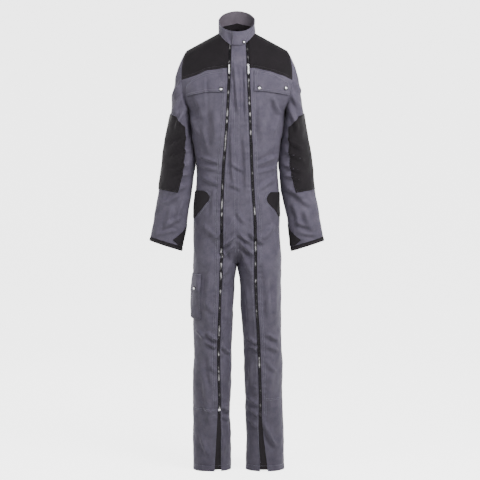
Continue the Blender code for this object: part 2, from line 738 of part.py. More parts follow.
def collar():
    """The stand collar, open at the front centre under its tab."""
    turn = np.linspace(COLLAR_SLIT, 2 * math.pi - COLLAR_SLIT, COLLAR["steps"] + 1)
    up = np.linspace(0.0, 1.0, 4)[:, None]
    turn, up = np.broadcast_arrays(turn, up)
    wall("collar", [collar_points(turn, up)], "grey", depth=COLLAR_WALL)


def collar_tab():
    """The tab that runs up from the centre strip, over the collar's opening to its top edge."""
    rows = np.array(COLLAR_TAB["rows"])
    turn = spread(rows[:, 1], rows[:, 2], TRIM_COLUMNS)
    grid = lift_off(1, collar_points(turn, np.broadcast_to(rows[:, :1], turn.shape)), PROUD)
    wall("collar_tab", [grid], "grey")


def frame_at(side, x, z, lift):
    """Axes of something fixed on the front: local +Y points into the cloth and +Z runs up it."""
    height = z + np.array((-SNAP_HALF, 0.0, SNAP_HALF))
    u = np.stack([across_at(np.full(3, x + step), height) for step in (-SNAP_HALF, 0.0, SNAP_HALF)], axis=1)
    grid = body(side, u, height[:, None])
    normal = np.cross(grid[1, 2] - grid[1, 0], grid[2, 1] - grid[0, 1]) * side
    normal /= np.linalg.norm(normal)
    return placed(grid[1, 1] + normal * lift, normal, grid[2, 1] - grid[0, 1])


def placed(point, normal, up):
    up = up - normal * np.dot(up, normal)
    up /= np.linalg.norm(up)
    right = np.cross(-normal, up)
    turned = Matrix(np.stack([right, -normal, up], axis=1).tolist()).to_4x4()
    return Matrix.Translation(point.tolist()) @ turned


def hard_piece(name, place, colour):
    """The primitive just added, named, put in place and given its material."""
    piece = bpy.context.object
    piece.name = name
    piece.data.name = name
    piece.matrix_world = place
    piece.data.materials.append(material(name, colour))
    for holder in piece.users_collection:
        holder.objects.unlink(piece)
    suit.objects.link(piece)
    return piece


def soften(piece, width):
    bevel = piece.modifiers.new("edges", "BEVEL")
    bevel.width = width
    bevel.segments = 1
    bevel.limit_method = "ANGLE"


def snap(name, place):
    """A press stud's cap, its flat foot towards the cloth."""
    bpy.ops.mesh.primitive_cylinder_add(vertices=12, radius=SNAP["radius"], depth=SNAP["depth"])
    piece = hard_piece(name, place @ Matrix.Rotation(math.pi / 2, 4, "X"), "steel")
    soften(piece, SNAP["bevel"])


def block(name, place, size, colour):
    """A box of the given width, depth and length with eased edges."""
    bpy.ops.mesh.primitive_cube_add(size=1.0)
    piece = bpy.context.object
    piece.data.transform(Matrix.Diagonal((*size, 1.0)))
    piece = hard_piece(name, place, colour)
    soften(piece, min(size) * 0.25)
    return piece


def slider_and_pull(name, side):
    """The zip's slider, near the yoke edge, and the pull tab that hangs from its front."""
    z = SLIDER["height"]
    x = float(read(ZIP_LINE, name, z))
    place = frame_at(side, x, z, SLIDER["stand"] + SLIDER["depth"] / 2)
    block(f"slider_{name}", place, (SLIDER["width"], SLIDER["depth"], SLIDER["length"]), "steel")
    in_front = SLIDER["depth"] / 2 + PULL["clear"] + PULL["depth"] / 2
    hinge = place @ Matrix.Translation((0.0, -in_front, PULL["hinge"] - SLIDER["length"] / 2))
    pull = block(f"pull_{name}", hinge, (PULL["width"], PULL["depth"], PULL["length"]), "steel")
    pull.data.transform(Matrix.Translation((0.0, 0.0, PULL["above"] - PULL["length"] / 2)))


def zip_stop(name, side):
    """The metal box that closes the zip's lower end."""
    z = ZIP_END[name] + ZIP_STOP["length"]
    x = float(read(ZIP_LINE, name, z))
    place = frame_at(side, x, z, SLIDER["stand"] + ZIP_STOP["depth"] / 2)
    block(f"zip_stop_{name}", place, (ZIP_STOP["width"], ZIP_STOP["depth"], ZIP_STOP["length"]), "steel")


def snaps():
    above = PROUD + SNAP_CLEAR + SNAP["depth"] / 2
    for number, (name, x, z) in enumerate(CHEST_SNAPS, 1):
        snap(f"chest_snap_{number}", frame_at(SIDES[name], x, z, above))
    turn = spread(np.full(3, COLLAR_SNAP - 0.06), np.full(3, COLLAR_SNAP + 0.06), 2)
    grid = collar_points(turn, np.broadcast_to(np.array((0.10, 0.16, 0.22))[:, None], turn.shape))
    normal = np.cross(grid[1, 2] - grid[1, 0], grid[2, 1] - grid[0, 1])
    normal /= np.linalg.norm(normal)
    snap("collar_snap", placed(grid[1, 1] + normal * above, normal, grid[2, 1] - grid[0, 1]))
    height = CARGO["flap_low"] + CARGO["snap_up"]
    stand = CARGO["flap_stand"] * (1 - CARGO["snap_up"] / (CARGO["flap_high"] - CARGO["flap_low"]))
    snap("cargo_snap", frame_at(-1, CARGO["snap_out"], height, above + stand + SNAP_CLEAR))


for left_over in list(bpy.data.objects):
    bpy.data.objects.remove(left_over)
suit = bpy.data.collections.new("boiler suit")
bpy.context.scene.collection.children.link(suit)

front_centre()
back_yoke()
collar()
collar_tab()
for side_name, side_sign in SIDES.items():
    front(side_name, side_sign)
    shin(side_name, side_sign)
    back(side_name, side_sign)
    front_yoke(side_name, side_sign)
    zip_tape(side_name, side_sign)
    hem_gusset(side_name, side_sign)
    sleeve_tube(side_name, side_sign)
    cuff(side_name, side_sign)
    elbow_patch(side_name, side_sign)
    cuff_gusset(side_name, side_sign)
    chest_flap(side_name, side_sign)
    hip_facing(side_name, side_sign)
    slider_and_pull(side_name, side_sign)
    zip_stop(side_name, side_sign)
cargo("right", SIDES["right"])
snaps()
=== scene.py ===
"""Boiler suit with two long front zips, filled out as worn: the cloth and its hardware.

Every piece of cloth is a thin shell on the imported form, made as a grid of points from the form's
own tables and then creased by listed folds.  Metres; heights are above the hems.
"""
import json
import math

import bmesh
import bpy
import numpy as np
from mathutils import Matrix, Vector


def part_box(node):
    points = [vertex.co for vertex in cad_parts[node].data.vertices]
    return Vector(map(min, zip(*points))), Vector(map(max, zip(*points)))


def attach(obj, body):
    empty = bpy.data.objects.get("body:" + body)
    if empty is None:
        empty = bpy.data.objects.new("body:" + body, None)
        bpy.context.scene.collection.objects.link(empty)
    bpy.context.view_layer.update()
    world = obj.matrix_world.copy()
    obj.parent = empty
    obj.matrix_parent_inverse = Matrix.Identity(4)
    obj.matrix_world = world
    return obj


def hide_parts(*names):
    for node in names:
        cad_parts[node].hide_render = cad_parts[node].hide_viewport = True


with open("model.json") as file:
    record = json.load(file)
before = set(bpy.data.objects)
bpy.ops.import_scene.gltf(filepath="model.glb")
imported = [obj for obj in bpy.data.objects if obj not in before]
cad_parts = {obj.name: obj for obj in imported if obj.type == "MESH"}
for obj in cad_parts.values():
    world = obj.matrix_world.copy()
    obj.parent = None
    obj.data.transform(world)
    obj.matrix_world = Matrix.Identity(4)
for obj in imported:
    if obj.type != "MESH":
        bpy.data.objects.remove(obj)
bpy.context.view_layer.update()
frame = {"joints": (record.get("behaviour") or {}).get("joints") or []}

ORIGIN_HEIGHT = 1.520
CROTCH = 0.735
RISE_TOP = 0.860
SEAM_REACH = 10
LEAN_AT_HEM = 0.0055
SQUARENESS = 2.4
LEG_SQUARENESS = 2.2
UNDERARM = 1.285
ROLL_START = 1.330
FRONT_ROLL = 2.0
BACK_ROLL = 3.0
UPPER_HALF_WIDTH = 0.230
NECK_HALF_WIDTH = 0.066
NECK_FRONT = 0.077
NECK_BACK = 0.062
NECK_SIDE_HEIGHT = 1.556
SHOULDER_SLOPE = 0.543
SHOULDER_TIP = 0.179
CHANNEL = 0.0056
SLEEVE_HEAD = 0.120
BACK_YOKE_EDGE = 1.3875
SIDES = {"right": -1, "left": 1}
HEAD_OUT = (0.57, 0.0, -0.82)  # the way the sleeve's head leaves the shoulder's tip
HEAD_UNDER = (0.25, 0.0, -1.0)  # and the underarm
CLOTH = 0.0011
WELD = 0.00015  # points of one cloth nearer than this are joined
SWELL = 0.0056  # how far the upper sleeve swells towards the body
TORSO_SWELL = 0.0022
FOLD_NARROW = 0.82
BACK_SHARE = 0.6  # folds behind are this much of the height listed
FOLD_GAIN = 2.5  # all folds are this much deeper than their tables say
PUCKER = 0.0011  # height of the puckers beside a zip
PUCKER_PITCH = 0.027
WELT = 0.0010  # how far the turned edge beside a zip stands up
GROOVE = 0.0009  # how far its inner stitching sinks
SEAM_SINK = 0.0010
HEM_LINE = 0.020
HEM_SINK = 0.0008
SLIDER_ZONE = (1.385, 1.475)  # no puckers right beside the sliders, between these heights
TWILL_PITCH = 0.0024
THREAD = 0.00055
STITCH_LENGTH = 0.0030
STITCH_GAP = 0.0011
TWIN = (0.0030, 0.0085)  # two rows of stitching, from a cloth's edge
YOKE_TWIN = (0.0030, 0.0090)
PATH_STEP = 0.006
ON_CLOTH = 0.0003  # how far thread stands off plain cloth, patches and flaps
ON_PATCH = 0.0028
ON_FLAP = 0.0034
HANDLED = 0.78  # rubbed metal is this much as bright as clean

TORSO = {
    "columns": ("height", "half_width", "front", "back"),
    "rows": (
        (0.735, 0.1570, 0.104, 0.112), (0.790, 0.1570, 0.108, 0.118), (0.850, 0.1545, 0.110, 0.117),
        (0.940, 0.1525, 0.108, 0.104), (1.026, 0.1475, 0.106, 0.094), (1.085, 0.1435, 0.108, 0.094),
        (1.143, 0.1500, 0.113, 0.100), (1.189, 0.1600, 0.117, 0.107), (1.240, 0.1680, 0.121, 0.113),
        (1.285, 0.1750, 0.122, 0.117), (1.315, 0.2000, 0.120, 0.118), (1.3875, 0.2300, 0.112, 0.118),
        (1.430, 0.2300, 0.105, 0.113), (1.560, 0.2300, 0.105, 0.110),
    ),
}
LEG = {
    "columns": ("height", "inner", "outer", "front", "back"),
    "rows": (
        (0.000, 0.0265, 0.1635, 0.076, 0.077), (0.120, 0.0270, 0.1630, 0.077, 0.077),
        (0.245, 0.0260, 0.1610, 0.080, 0.078), (0.387, 0.0220, 0.1590, 0.084, 0.080),
        (0.490, 0.0175, 0.1575, 0.086, 0.086), (0.600, 0.0120, 0.1580, 0.090, 0.092),
        (0.685, 0.0080, 0.1575, 0.094, 0.099), (0.735, 0.0004, 0.1570, 0.098, 0.104),
    ),
}
ARMHOLE = {
    "columns": ("height", "out"),
    "rows": (
        (1.285, 0.1750), (1.293, 0.1775), (1.315, 0.1830), (1.348, 0.1900), (1.387, 0.1950),
        (1.427, 0.1950), (1.460, 0.1910), (1.482, 0.1840), (1.491, 0.1790),
    ),
}
ZIP_LINE = {
    "columns": ("height", "right", "left"),
    "rows": (
        (0.000, 0.0725, 0.0905), (0.200, 0.0670, 0.0790), (0.245, 0.0657, 0.0800), (0.351, 0.0670, 0.0780),
        (0.493, 0.0658, 0.0740), (0.600, 0.0600, 0.0680), (0.706, 0.0560, 0.0660), (0.813, 0.0540, 0.0660),
        (0.919, 0.0530, 0.0620), (1.026, 0.0500, 0.0550), (1.168, 0.0400, 0.0500), (1.310, 0.0310, 0.0440),
        (1.452, 0.0260, 0.0390), (1.520, 0.0240, 0.0360),
    ),
}
SLEEVE = {
    "columns": ("height", "out", "back", "half_width", "half_depth", "tilt"),
    "rows": (
        (0.800, 0.2520, -0.022, 0.0615, 0.0360, 18.0), (0.884, 0.2385, -0.016, 0.0590, 0.0450, 13.0),
        (0.941, 0.2300, -0.010, 0.0590, 0.0510, 11.0), (1.054, 0.2115, -0.002, 0.0600, 0.0600, 9.0),
        (1.143, 0.2080, 0.000, 0.0520, 0.0660, 7.0), (1.232, 0.2065, 0.000, 0.0370, 0.0700, 6.0),
    ),
}
YOKE_EDGE = {
    "columns": ("out", "right", "left"),
    "rows": (
        (0.020, 1.431, 1.430), (0.073, 1.423, 1.426), (0.108, 1.418, 1.419), (0.147, 1.402, 1.406),
        (0.195, 1.3875, 1.3875),
    ),
}
ZIP_END = {"right": 0.206, "left": 0.195}
GUSSET_HALF_WIDTH = {"right": 0.0120, "left": 0.0140}
SHIN_SEAM = {"right": 0.215, "left": 0.252}
COLLAR = {"half_width": 0.0640, "front": 0.0700, "back": 0.0600, "height": 1.5990, "tilt": 0.0415}
ELBOW = ((0.104, 0.20), (0.113, 0.27), (0.128, 0.345), (0.200, 0.33), (0.280, 0.305), (0.360, 0.28))
ELBOW_BACK = -0.30
CUFF_SEAM = 0.8150
CUFF_END = 0.8000
CUFF_GUSSET = ((0.891, 0.012), (0.870, 0.072), (0.849, 0.135), (0.828, 0.195), (0.8165, 0.125))
CHEST_FLAP = {
    "right": (
        (0.0435, 1.4220, 1.3415), (0.0800, 1.4170, 1.3420), (0.1080, 1.4125, 1.3420),
        (0.1300, 1.4040, 1.3370), (0.1540, 1.3900, 1.3330), (0.1700, 1.3760, 1.3290),
        (0.1765, 1.3640, 1.3290),
    ),
    "left": (
        (0.0600, 1.4220, 1.3450), (0.0770, 1.4200, 1.3450), (0.1120, 1.4130, 1.3420),
        (0.1400, 1.4010, 1.3390), (0.1620, 1.3880, 1.3350), (0.1790, 1.3780, 1.3335),
        (0.1840, 1.3660, 1.3360),
    ),
}
HIP_FACING = {
    "right": (
        (0.898, 0.1490), (0.915, 0.1390), (0.935, 0.1220), (0.962, 0.1010), (0.975, 0.0970), (0.990, 0.1050),
        (0.9975, 0.1170),
    ),
    "left": (
        (0.905, 0.1490), (0.930, 0.1340), (0.955, 0.1080), (0.970, 0.1045), (0.985, 0.1120), (0.992, 0.1200),
    ),
}
CARGO = {"front": 0.128, "back": 0.640, "low": 0.540, "high": 0.672, "flap_low": 0.640, "flap_high": 0.703}
COLLAR_TAB = (
    (0.03, -0.27, 0.42), (0.30, -0.26, 0.46), (0.55, -0.25, 0.62), (0.80, -0.25, 0.92), (0.97, -0.25, 1.05),
)
SLIDER_HEIGHT = 1.441

# Folds, in millimetres: where each starts and ends across and up, its half width and height, and
# its bow.  A positive height is a ridge with a trough on one side.
FRONT_FOLDS = (
    (126, 1331, 154, 1262, 9, 4.2, 4), (-150, 1330, -118, 1245, 10, 3.2, -4),
    (-9, 1452, 5, 1257, 8, 3.2, 2), (20, 1450, 24, 1250, 6, -2.6, 0), (100, 1300, 90, 1150, 14, 2.8, 6),
    (-90, 1300, -85, 1140, 14, 2.8, -6), (150, 1265, 120, 1200, 10, 3, -4),
    (-158, 1262, -130, 1190, 10, 3, 4), (-140, 1125, -62, 1095, 8, 3.4, 3),
    (-138, 1085, -75, 1070, 7, 3, -2), (-130, 1050, -60, 1018, 9, 3.2, 3),
    (145, 1120, 72, 1085, 8, 3.4, 3), (140, 1080, 67, 1060, 7, 3, -2), (138, 1040, 76, 1000, 9, 3, 2),
    (-22, 1095, 26, 1065, 7, 2.2, 2), (-30, 1020, 18, 1000, 8, 2, -2), (-18, 1230, -12, 1010, 9, 3, 3),
    (24, 1200, 32, 980, 10, 2.8, -3), (4, 850, 50, 815, 7, 3.8, 3), (8, 822, 64, 770, 8, 4, 4),
    (-6, 842, -52, 802, 7, 3.6, -3), (-10, 812, -78, 750, 8, 4, -4), (36, 858, 100, 806, 9, 2.6, 3),
    (-30, 870, -92, 820, 9, 2.6, -3), (16, 785, 52, 700, 8, 3.4, 3), (-18, 780, -52, 690, 8, 3.4, -3),
    (-2, 930, 30, 880, 9, 2.4, 3), (-12, 905, -40, 862, 8, 2.4, -2), (-120, 880, -72, 835, 12, 3, 4),
    (130, 880, 86, 825, 12, 3, -4), (-90, 740, -108, 520, 14, 3, 6), (96, 740, 112, 500, 14, 3, -6),
    (-32, 660, -36, 520, 9, 2.8, 3), (34, 660, 40, 500, 9, 2.8, -3), (-140, 700, -125, 560, 12, 2.4, -4),
    (142, 690, 135, 540, 12, 2.6, 4), (-108, 496, -66, 466, 8, 4.2, 3), (-112, 464, -70, 442, 7, 3.6, 2),
    (-52, 448, -24, 414, 6, 3.6, 2), (-148, 505, -116, 472, 9, 3, -2), (36, 482, 78, 454, 7, 3.8, 3),
    (40, 450, 82, 424, 7, 3.6, -2), (104, 494, 150, 464, 9, 3.4, 3), (108, 446, 146, 424, 9, 2.8, -3),
    (-52, 232, -26, 204, 7, 3.4, 2), (-50, 200, -28, 178, 6, 2.8, 2), (38, 266, 78, 236, 8, 3.6, 3),
    (40, 226, 78, 194, 7, 3.2, -2), (42, 188, 76, 154, 8, 2.8, 2), (96, 178, 140, 82, 9, 4.4, 4),
    (-122, 350, -100, 160, 12, 3, -5), (128, 370, 116, 200, 12, 2.8, 5), (-130, 130, -98, 50, 10, 3, 3),
    (-42, 130, -50, 30, 8, 2.4, 2), (-96, 420, -88, 300, 10, 2.6, 3), (48, 390, 42, 290, 8, 2.6, -3),
    (-106, 1412, -101, 1225, 5, -1.4, 1), (-76, 1320, -70, 1160, 8, 1.8, 2),
    (78, 1330, 74, 1190, 8, 1.8, -2), (-118, 1230, -100, 1130, 9, 2, 3),
    (128, 1220, 108, 1130, 9, 2.2, -3), (-80, 1010, -86, 900, 9, 1.8, 3), (80, 985, 82, 900, 9, 1.8, -3),
    (120, 640, 104, 560, 9, 2.2, 3), (-110, 610, -80, 560, 9, 2.2, 3), (-100, 385, -72, 352, 8, 2.2, 2),
    (100, 400, 140, 352, 9, 2.4, 3), (-125, 240, -88, 205, 8, 2, 2), (10, 1390, 12, 1290, 5, -1.6, 0),
    (-20, 1400, -14, 1300, 5, 1.6, 0),
)
BACK_FOLDS = (
    (-150, 1330, -95, 1240, 12, 4, 6), (152, 1325, 100, 1230, 12, 3.8, -6),
    (-120, 1260, -70, 1180, 12, 3, 4), (118, 1250, 66, 1170, 12, 3.2, -4),
    (-40, 1330, -34, 1130, 12, 2.6, 5), (46, 1340, 38, 1150, 12, 2.6, -4),
    (-135, 1110, -20, 1085, 9, 4, 4), (130, 1100, 24, 1072, 9, 3.8, -4),
    (-125, 1068, -30, 1050, 8, 3.4, -3), (134, 1060, 20, 1040, 8, 3.6, 3),
    (-118, 1025, -45, 1000, 10, 3, 3), (120, 1018, 50, 990, 10, 3, 3), (-120, 870, -30, 800, 12, 3.6, -6),
    (122, 865, 34, 795, 12, 3.6, 6), (-12, 800, -90, 735, 9, 4.4, -5), (14, 795, 92, 728, 9, 4.4, 5),
    (-16, 765, -80, 690, 9, 3.8, -4), (18, 760, 78, 684, 9, 3.8, 4), (-60, 660, -72, 520, 13, 2.8, 5),
    (66, 655, 78, 510, 13, 2.8, -5), (-140, 470, -40, 440, 9, 4.8, 6), (-135, 430, -45, 412, 8, 4.4, -5),
    (-130, 395, -55, 372, 9, 3.6, 4), (142, 462, 44, 438, 9, 4.8, -6), (138, 424, 48, 402, 8, 4.2, 5),
    (132, 388, 56, 366, 9, 3.6, -4), (-110, 300, -85, 150, 12, 3, 5), (112, 290, 90, 140, 12, 3, -5),
    (-50, 220, -70, 80, 10, 2.8, -4), (54, 215, 72, 70, 10, 2.8, 4), (-130, 110, -60, 70, 9, 3, 3),
    (132, 105, 66, 60, 9, 3, -3),
)
SLEEVE_FRONT_FOLDS = (
    (-192, 1390, -236, 1330, 10, 3.4, -4), (-186, 1340, -228, 1262, 9, 3.8, 4),
    (-182, 1300, -215, 1205, 8, 3.6, 4), (-246, 1300, -254, 1140, 12, 3, 5),
    (-176, 1190, -232, 1150, 9, 3.8, 3), (-170, 1140, -236, 1108, 8, 4.4, 4),
    (-166, 1100, -232, 1072, 8, 4.2, -4), (-164, 1060, -226, 1040, 8, 3.8, 3),
    (-170, 1020, -240, 980, 10, 3.6, 3), (-200, 990, -262, 950, 10, 2.8, -3),
    (-190, 960, -215, 880, 10, 3.2, 4), (-232, 940, -262, 850, 11, 3, -4),
    (-196, 900, -250, 872, 8, 3, 3), (-210, 856, -282, 842, 7, 2.4, 2),
    (194, 1392, 240, 1336, 10, 3.4, 4), (188, 1338, 232, 1256, 9, 4, -4),
    (184, 1296, 214, 1200, 8, 3.4, -4), (250, 1290, 262, 1150, 12, 3, -5),
    (178, 1186, 236, 1140, 9, 4, 3), (172, 1134, 240, 1098, 8, 4.4, -4), (168, 1092, 236, 1066, 8, 4, 4),
    (168, 1052, 232, 1030, 8, 3.8, -3), (174, 1010, 244, 972, 10, 3.4, 3), (206, 985, 268, 940, 10, 3, 3),
    (194, 952, 222, 872, 10, 3.2, -4), (238, 930, 272, 846, 11, 3, 4), (202, 892, 256, 868, 8, 3, 3),
    (216, 850, 290, 838, 7, 2.4, 2),
)
SLEEVE_BACK_FOLDS = (
    (-190, 1380, -240, 1310, 11, 3.6, 4), (-184, 1310, -224, 1210, 9, 3.6, 4),
    (-240, 1240, -210, 1130, 12, 3, 5), (-170, 1150, -255, 1110, 10, 3.8, 4),
    (-168, 1080, -260, 1060, 10, 3.4, -4), (-172, 1020, -262, 990, 10, 3, 4),
    (-190, 930, -262, 900, 10, 3.4, 4), (-202, 870, -280, 850, 9, 3, -3),
    (192, 1376, 244, 1300, 11, 3.6, -4), (186, 1304, 228, 1204, 9, 3.6, -4),
    (244, 1230, 214, 1120, 12, 3, -5), (172, 1144, 258, 1104, 10, 3.8, -4),
    (170, 1074, 264, 1052, 10, 3.4, 4), (176, 1012, 266, 984, 10, 3, -4),
    (194, 924, 268, 892, 10, 3.4, -4), (206, 864, 286, 842, 9, 3, 3),
)
# Slow waves of the whole surface: waves per metre across, through and up, phase and height.
WAVES = (
    (5.0, 3.0, 3.2, 0.4, 0.0012), (-7.0, 4.0, 5.1, 1.9, 0.0009), (12.0, -9.0, 8.0, 3.1, 0.0006),
    (17.0, 11.0, -13.0, 5.2, 0.0004), (-24.0, 15.0, 21.0, 0.9, 0.00028), (31.0, -22.0, 17.0, 2.7, 0.0002),
)


def read(table, column, at):
    """A named column at the places in `at`: a smooth cubic through the table's rows."""
    rows = np.array(table["rows"])
    x = rows[:, 0]
    y = rows[:, table["columns"].index(column)]
    at = np.clip(np.asarray(at, float), x[0], x[-1])
    slope = np.gradient(y, x)
    i = np.clip(np.searchsorted(x, at, side="right") - 1, 0, len(x) - 2)
    step = x[i + 1] - x[i]
    t = (at - x[i]) / step
    start = (1 + 2 * t) * (1 - t) ** 2 * y[i] + t * (1 - t) ** 2 * step * slope[i]
    end = t * t * (3 - 2 * t) * y[i + 1] + t * t * (t - 1) * step * slope[i + 1]
    return start + end


def ease(t):
    """0 below 0 and 1 above 1, with a smooth step between."""
    t = np.clip(t, 0.0, 1.0)
    return t * t * (3.0 - 2.0 * t)


def shoulder(x):
    """Height of the shoulder's crest: it falls in a straight line away from the neck."""
    return NECK_SIDE_HEIGHT - SHOULDER_SLOPE * (np.abs(x) - NECK_HALF_WIDTH)


def unit(v):
    """Vectors divided by their lengths."""
    return v / np.maximum(np.linalg.norm(v, axis=-1, keepdims=True), 1e-9)


def power(base, exponent):
    """The base, or 0 where it is negative, to a power."""
    return np.clip(base, 0.0, None) ** exponent


def rise(u, z):
    """0 above the rise and 1 from the crotch down: a quarter circle at the centre seam, a smooth step
    at the outside of the hip, blended by a high power of the cosine of u."""
    t = np.clip((RISE_TOP - z) / (RISE_TOP - CROTCH), 0.0, 1.0)
    seam = 1.0 - np.sqrt(1.0 - t * t)
    near_seam = np.abs(np.cos(math.pi * u)) ** SEAM_REACH
    return ease(t) + (seam - ease(t)) * near_seam


def body(side, u, z):
    """The outside of torso and legs: a superellipse for the torso, a closed superellipse ring for each
    leg, the two blended through the rise, and the depth rounded off to the shoulder's crest.  u runs
    0 to 1 from the front centre round the side to the back centre."""
    u, z = np.broadcast_arrays(np.asarray(u, float), np.asarray(z, float))
    turn = math.pi * u
    front = u <= 0.5
    out = read(TORSO, "half_width", z) * power(np.sin(turn), 2.0 / SQUARENESS)
    depth = np.where(front, -read(TORSO, "front", z), read(TORSO, "back", z))
    deep = depth * np.abs(np.cos(turn)) ** (2.0 / SQUARENESS)
    roll = np.where(front, FRONT_ROLL, BACK_ROLL)
    up = np.clip((z - ROLL_START) / (shoulder(out) - ROLL_START), 0.0, 1.0)
    deep = deep * power(1.0 - up**roll, 1.0 / roll)
    leg_power = 2.0 / LEG_SQUARENESS
    inner, outer = read(LEG, "inner", z), read(LEG, "outer", z)
    across = np.cos(2 * turn)
    leg_out = (inner + outer) / 2 - (outer - inner) / 2 * np.sign(across) * power(np.abs(across), leg_power)
    leg_depth = np.where(front, -read(LEG, "front", z), read(LEG, "back", z))
    leg_deep = leg_depth * power(np.abs(np.sin(2 * turn)), leg_power)
    parted = rise(u, z)
    out = out + parted * (leg_out - out)
    deep = deep + parted * (leg_deep - deep)
    return np.stack([side * out + lean(z), deep, z - ORIGIN_HEIGHT], axis=-1)


def lean(z):
    """How far the legs lean to the wearer's left: nothing at the crotch, in a straight line to the hem."""
    return LEAN_AT_HEM * np.clip(1.0 - z / CROTCH, 0.0, 1.0)


def lookup(table, wanted, values):
    """values where each row of table reaches wanted, by counting and a straight line between two."""
    last = table.shape[1] - 1
    k = np.clip((table[:, None, :] < wanted[:, :, None]).sum(-1), 1, last)
    low, high = np.take_along_axis(table, k - 1, 1), np.take_along_axis(table, k, 1)
    t = np.clip((wanted - low) / np.maximum(high - low, 1e-9), 0.0, 1.0)
    a, b = np.take_along_axis(values, k - 1, 1), np.take_along_axis(values, k, 1)
    return a + t * (b - a)


def across_at(x, z):
    """The u at which the front is x from the middle, at height z."""
    x, z = np.broadcast_arrays(np.asarray(x, float), np.asarray(z, float))
    u = np.linspace(0.0, 0.5, 401)
    flat = z.reshape(-1)
    table = body(1, u, flat[:, None])[..., 0] - lean(flat)[:, None]
    found = lookup(table, x.reshape(-1, 1), np.broadcast_to(u, table.shape))
    return found.reshape(x.shape)


def roll_angle(x, z, roll):
    """The angle round the shoulder's rounding, from its start to the crest, at x and z."""
    up = np.clip((z - ROLL_START) / (shoulder(x) - ROLL_START), 0.0, 1.0)
    return np.arcsin(up ** (roll / 2))


def roll_height(x, turn, roll):
    """The height at that angle: the inverse of roll_angle."""
    return ROLL_START + np.sin(turn) ** (2 / roll) * (shoulder(x) - ROLL_START)


def neck(x, back=False):
    """Height of the neckline: an ellipse in plan, on the outside."""
    depth, roll, reach = (
        (read(TORSO, "back", 1.56), BACK_ROLL, NECK_BACK)
        if back
        else (read(TORSO, "front", 1.56), FRONT_ROLL, NECK_FRONT)
    )
    x = np.clip(np.abs(x), 0.0, NECK_HALF_WIDTH)
    y = reach * np.sqrt(1.0 - (x / NECK_HALF_WIDTH) ** 2)
    full = depth * (1.0 - (x / UPPER_HALF_WIDTH) ** SQUARENESS) ** (1.0 / SQUARENESS)
    up = (1.0 - (y / full) ** roll) ** (1.0 / roll)
    return ROLL_START + up * (shoulder(x) - ROLL_START)


def arm_height(share):
    """Height round the armhole: share 0 is the underarm and 1 the shoulder's tip, on half a cosine."""
    top = shoulder(SHOULDER_TIP)
    return (top + UNDERARM) / 2 - (top - UNDERARM) / 2 * np.cos(math.pi * share)


MID_ARM = float(arm_height(0.5))


def turn_at(x, z):
    """The u of the torso's superellipse at x from the middle: an arcsine of a power of x."""
    return np.arcsin(np.clip(x / read(TORSO, "half_width", z), 0.0, 1.0) ** (SQUARENESS / 2)) / math.pi


def arm_edge(z, back=False):
    """The u of the armhole at height z, on the front or the back."""
    edge = turn_at(read(ARMHOLE, "out", z), z)
    return 1.0 - edge if back else edge


def armhole(side, v):
    """The armhole: v runs 0 to 1 from the shoulder's tip down the front and up the back."""
    z = arm_height(np.arccos(-np.cos(2 * math.pi * v)) / math.pi)
    u = turn_at(read(ARMHOLE, "out", z), z)
    u = np.where(np.mod(v, 1.0) > 0.5, 1.0 - u, u)
    return body(side, u, z)


def ring(side, v, height):
    """The sleeve's tilted ellipses below its head."""
    turn = 2 * math.pi * v
    tilt = np.radians(read(SLEEVE, "tilt", height))
    across = read(SLEEVE, "half_width", height) * np.cos(turn)
    x = side * (read(SLEEVE, "out", height) + across * np.cos(tilt))
    y = read(SLEEVE, "back", height) - read(SLEEVE, "half_depth", height) * np.sin(turn)
    z = height + across * np.sin(tilt) - ORIGIN_HEIGHT
    return np.stack(np.broadcast_arrays(x, y, z), axis=-1)


def sleeve(side, v, drop):
    """A sleeve: a cubic head from the armhole to its first full ring, and rings below it."""
    v, drop = np.broadcast_arrays(np.asarray(v, float), np.asarray(drop, float))
    t = np.clip(drop / SLEEVE_HEAD, 0.0, 1.0)[..., None]
    first = SLEEVE["rows"][-1][0]
    start = armhole(side, v)
    end = ring(side, v, np.full(v.shape, first))
    reach = np.linalg.norm(end - start, axis=-1, keepdims=True)
    top = (1 + np.cos(2 * math.pi * v))[..., None] / 2
    away = unit(top * np.array(HEAD_OUT) + (1 - top) * np.array(HEAD_UNDER)) * np.array((side, 1, 1))
    down = unit(ring(side, v, np.full(v.shape, first - 0.01)) - end)
    head = (1 + 2 * t) * (1 - t) ** 2 * start + t * (1 - t) ** 2 * reach * away
    head = head + t * t * (3 - 2 * t) * end + t * t * (t - 1) * reach * down
    rings = ring(side, v, np.minimum(first, first - (drop - SLEEVE_HEAD)))
    return np.where(drop[..., None] > SLEEVE_HEAD, rings, head)


def drop_at(height):
    """The distance down a sleeve at which its rings have this height."""
    return SLEEVE_HEAD + SLEEVE["rows"][-1][0] - height


def collar_points(round_, up):
    """The collar: straight lines from the neckline up to an ellipse that tilts down to the front."""
    forward = np.cos(round_)
    x = NECK_HALF_WIDTH * np.sin(round_)
    y = np.where(forward > 0, -NECK_FRONT, NECK_BACK) * np.abs(forward)
    z = np.where(forward > 0, neck(x), neck(x, True))
    foot = np.stack([x, y, z - ORIGIN_HEIGHT], axis=-1)
    top_y = np.where(forward > 0, -COLLAR["front"], COLLAR["back"]) * np.abs(forward)
    top_z = COLLAR["height"] - COLLAR["tilt"] * forward - ORIGIN_HEIGHT
    top = np.stack([COLLAR["half_width"] * np.sin(round_), top_y, top_z], axis=-1)
    return foot + (top - foot) * np.asarray(up)[..., None]


# ---------------------------------------------------------------- folds

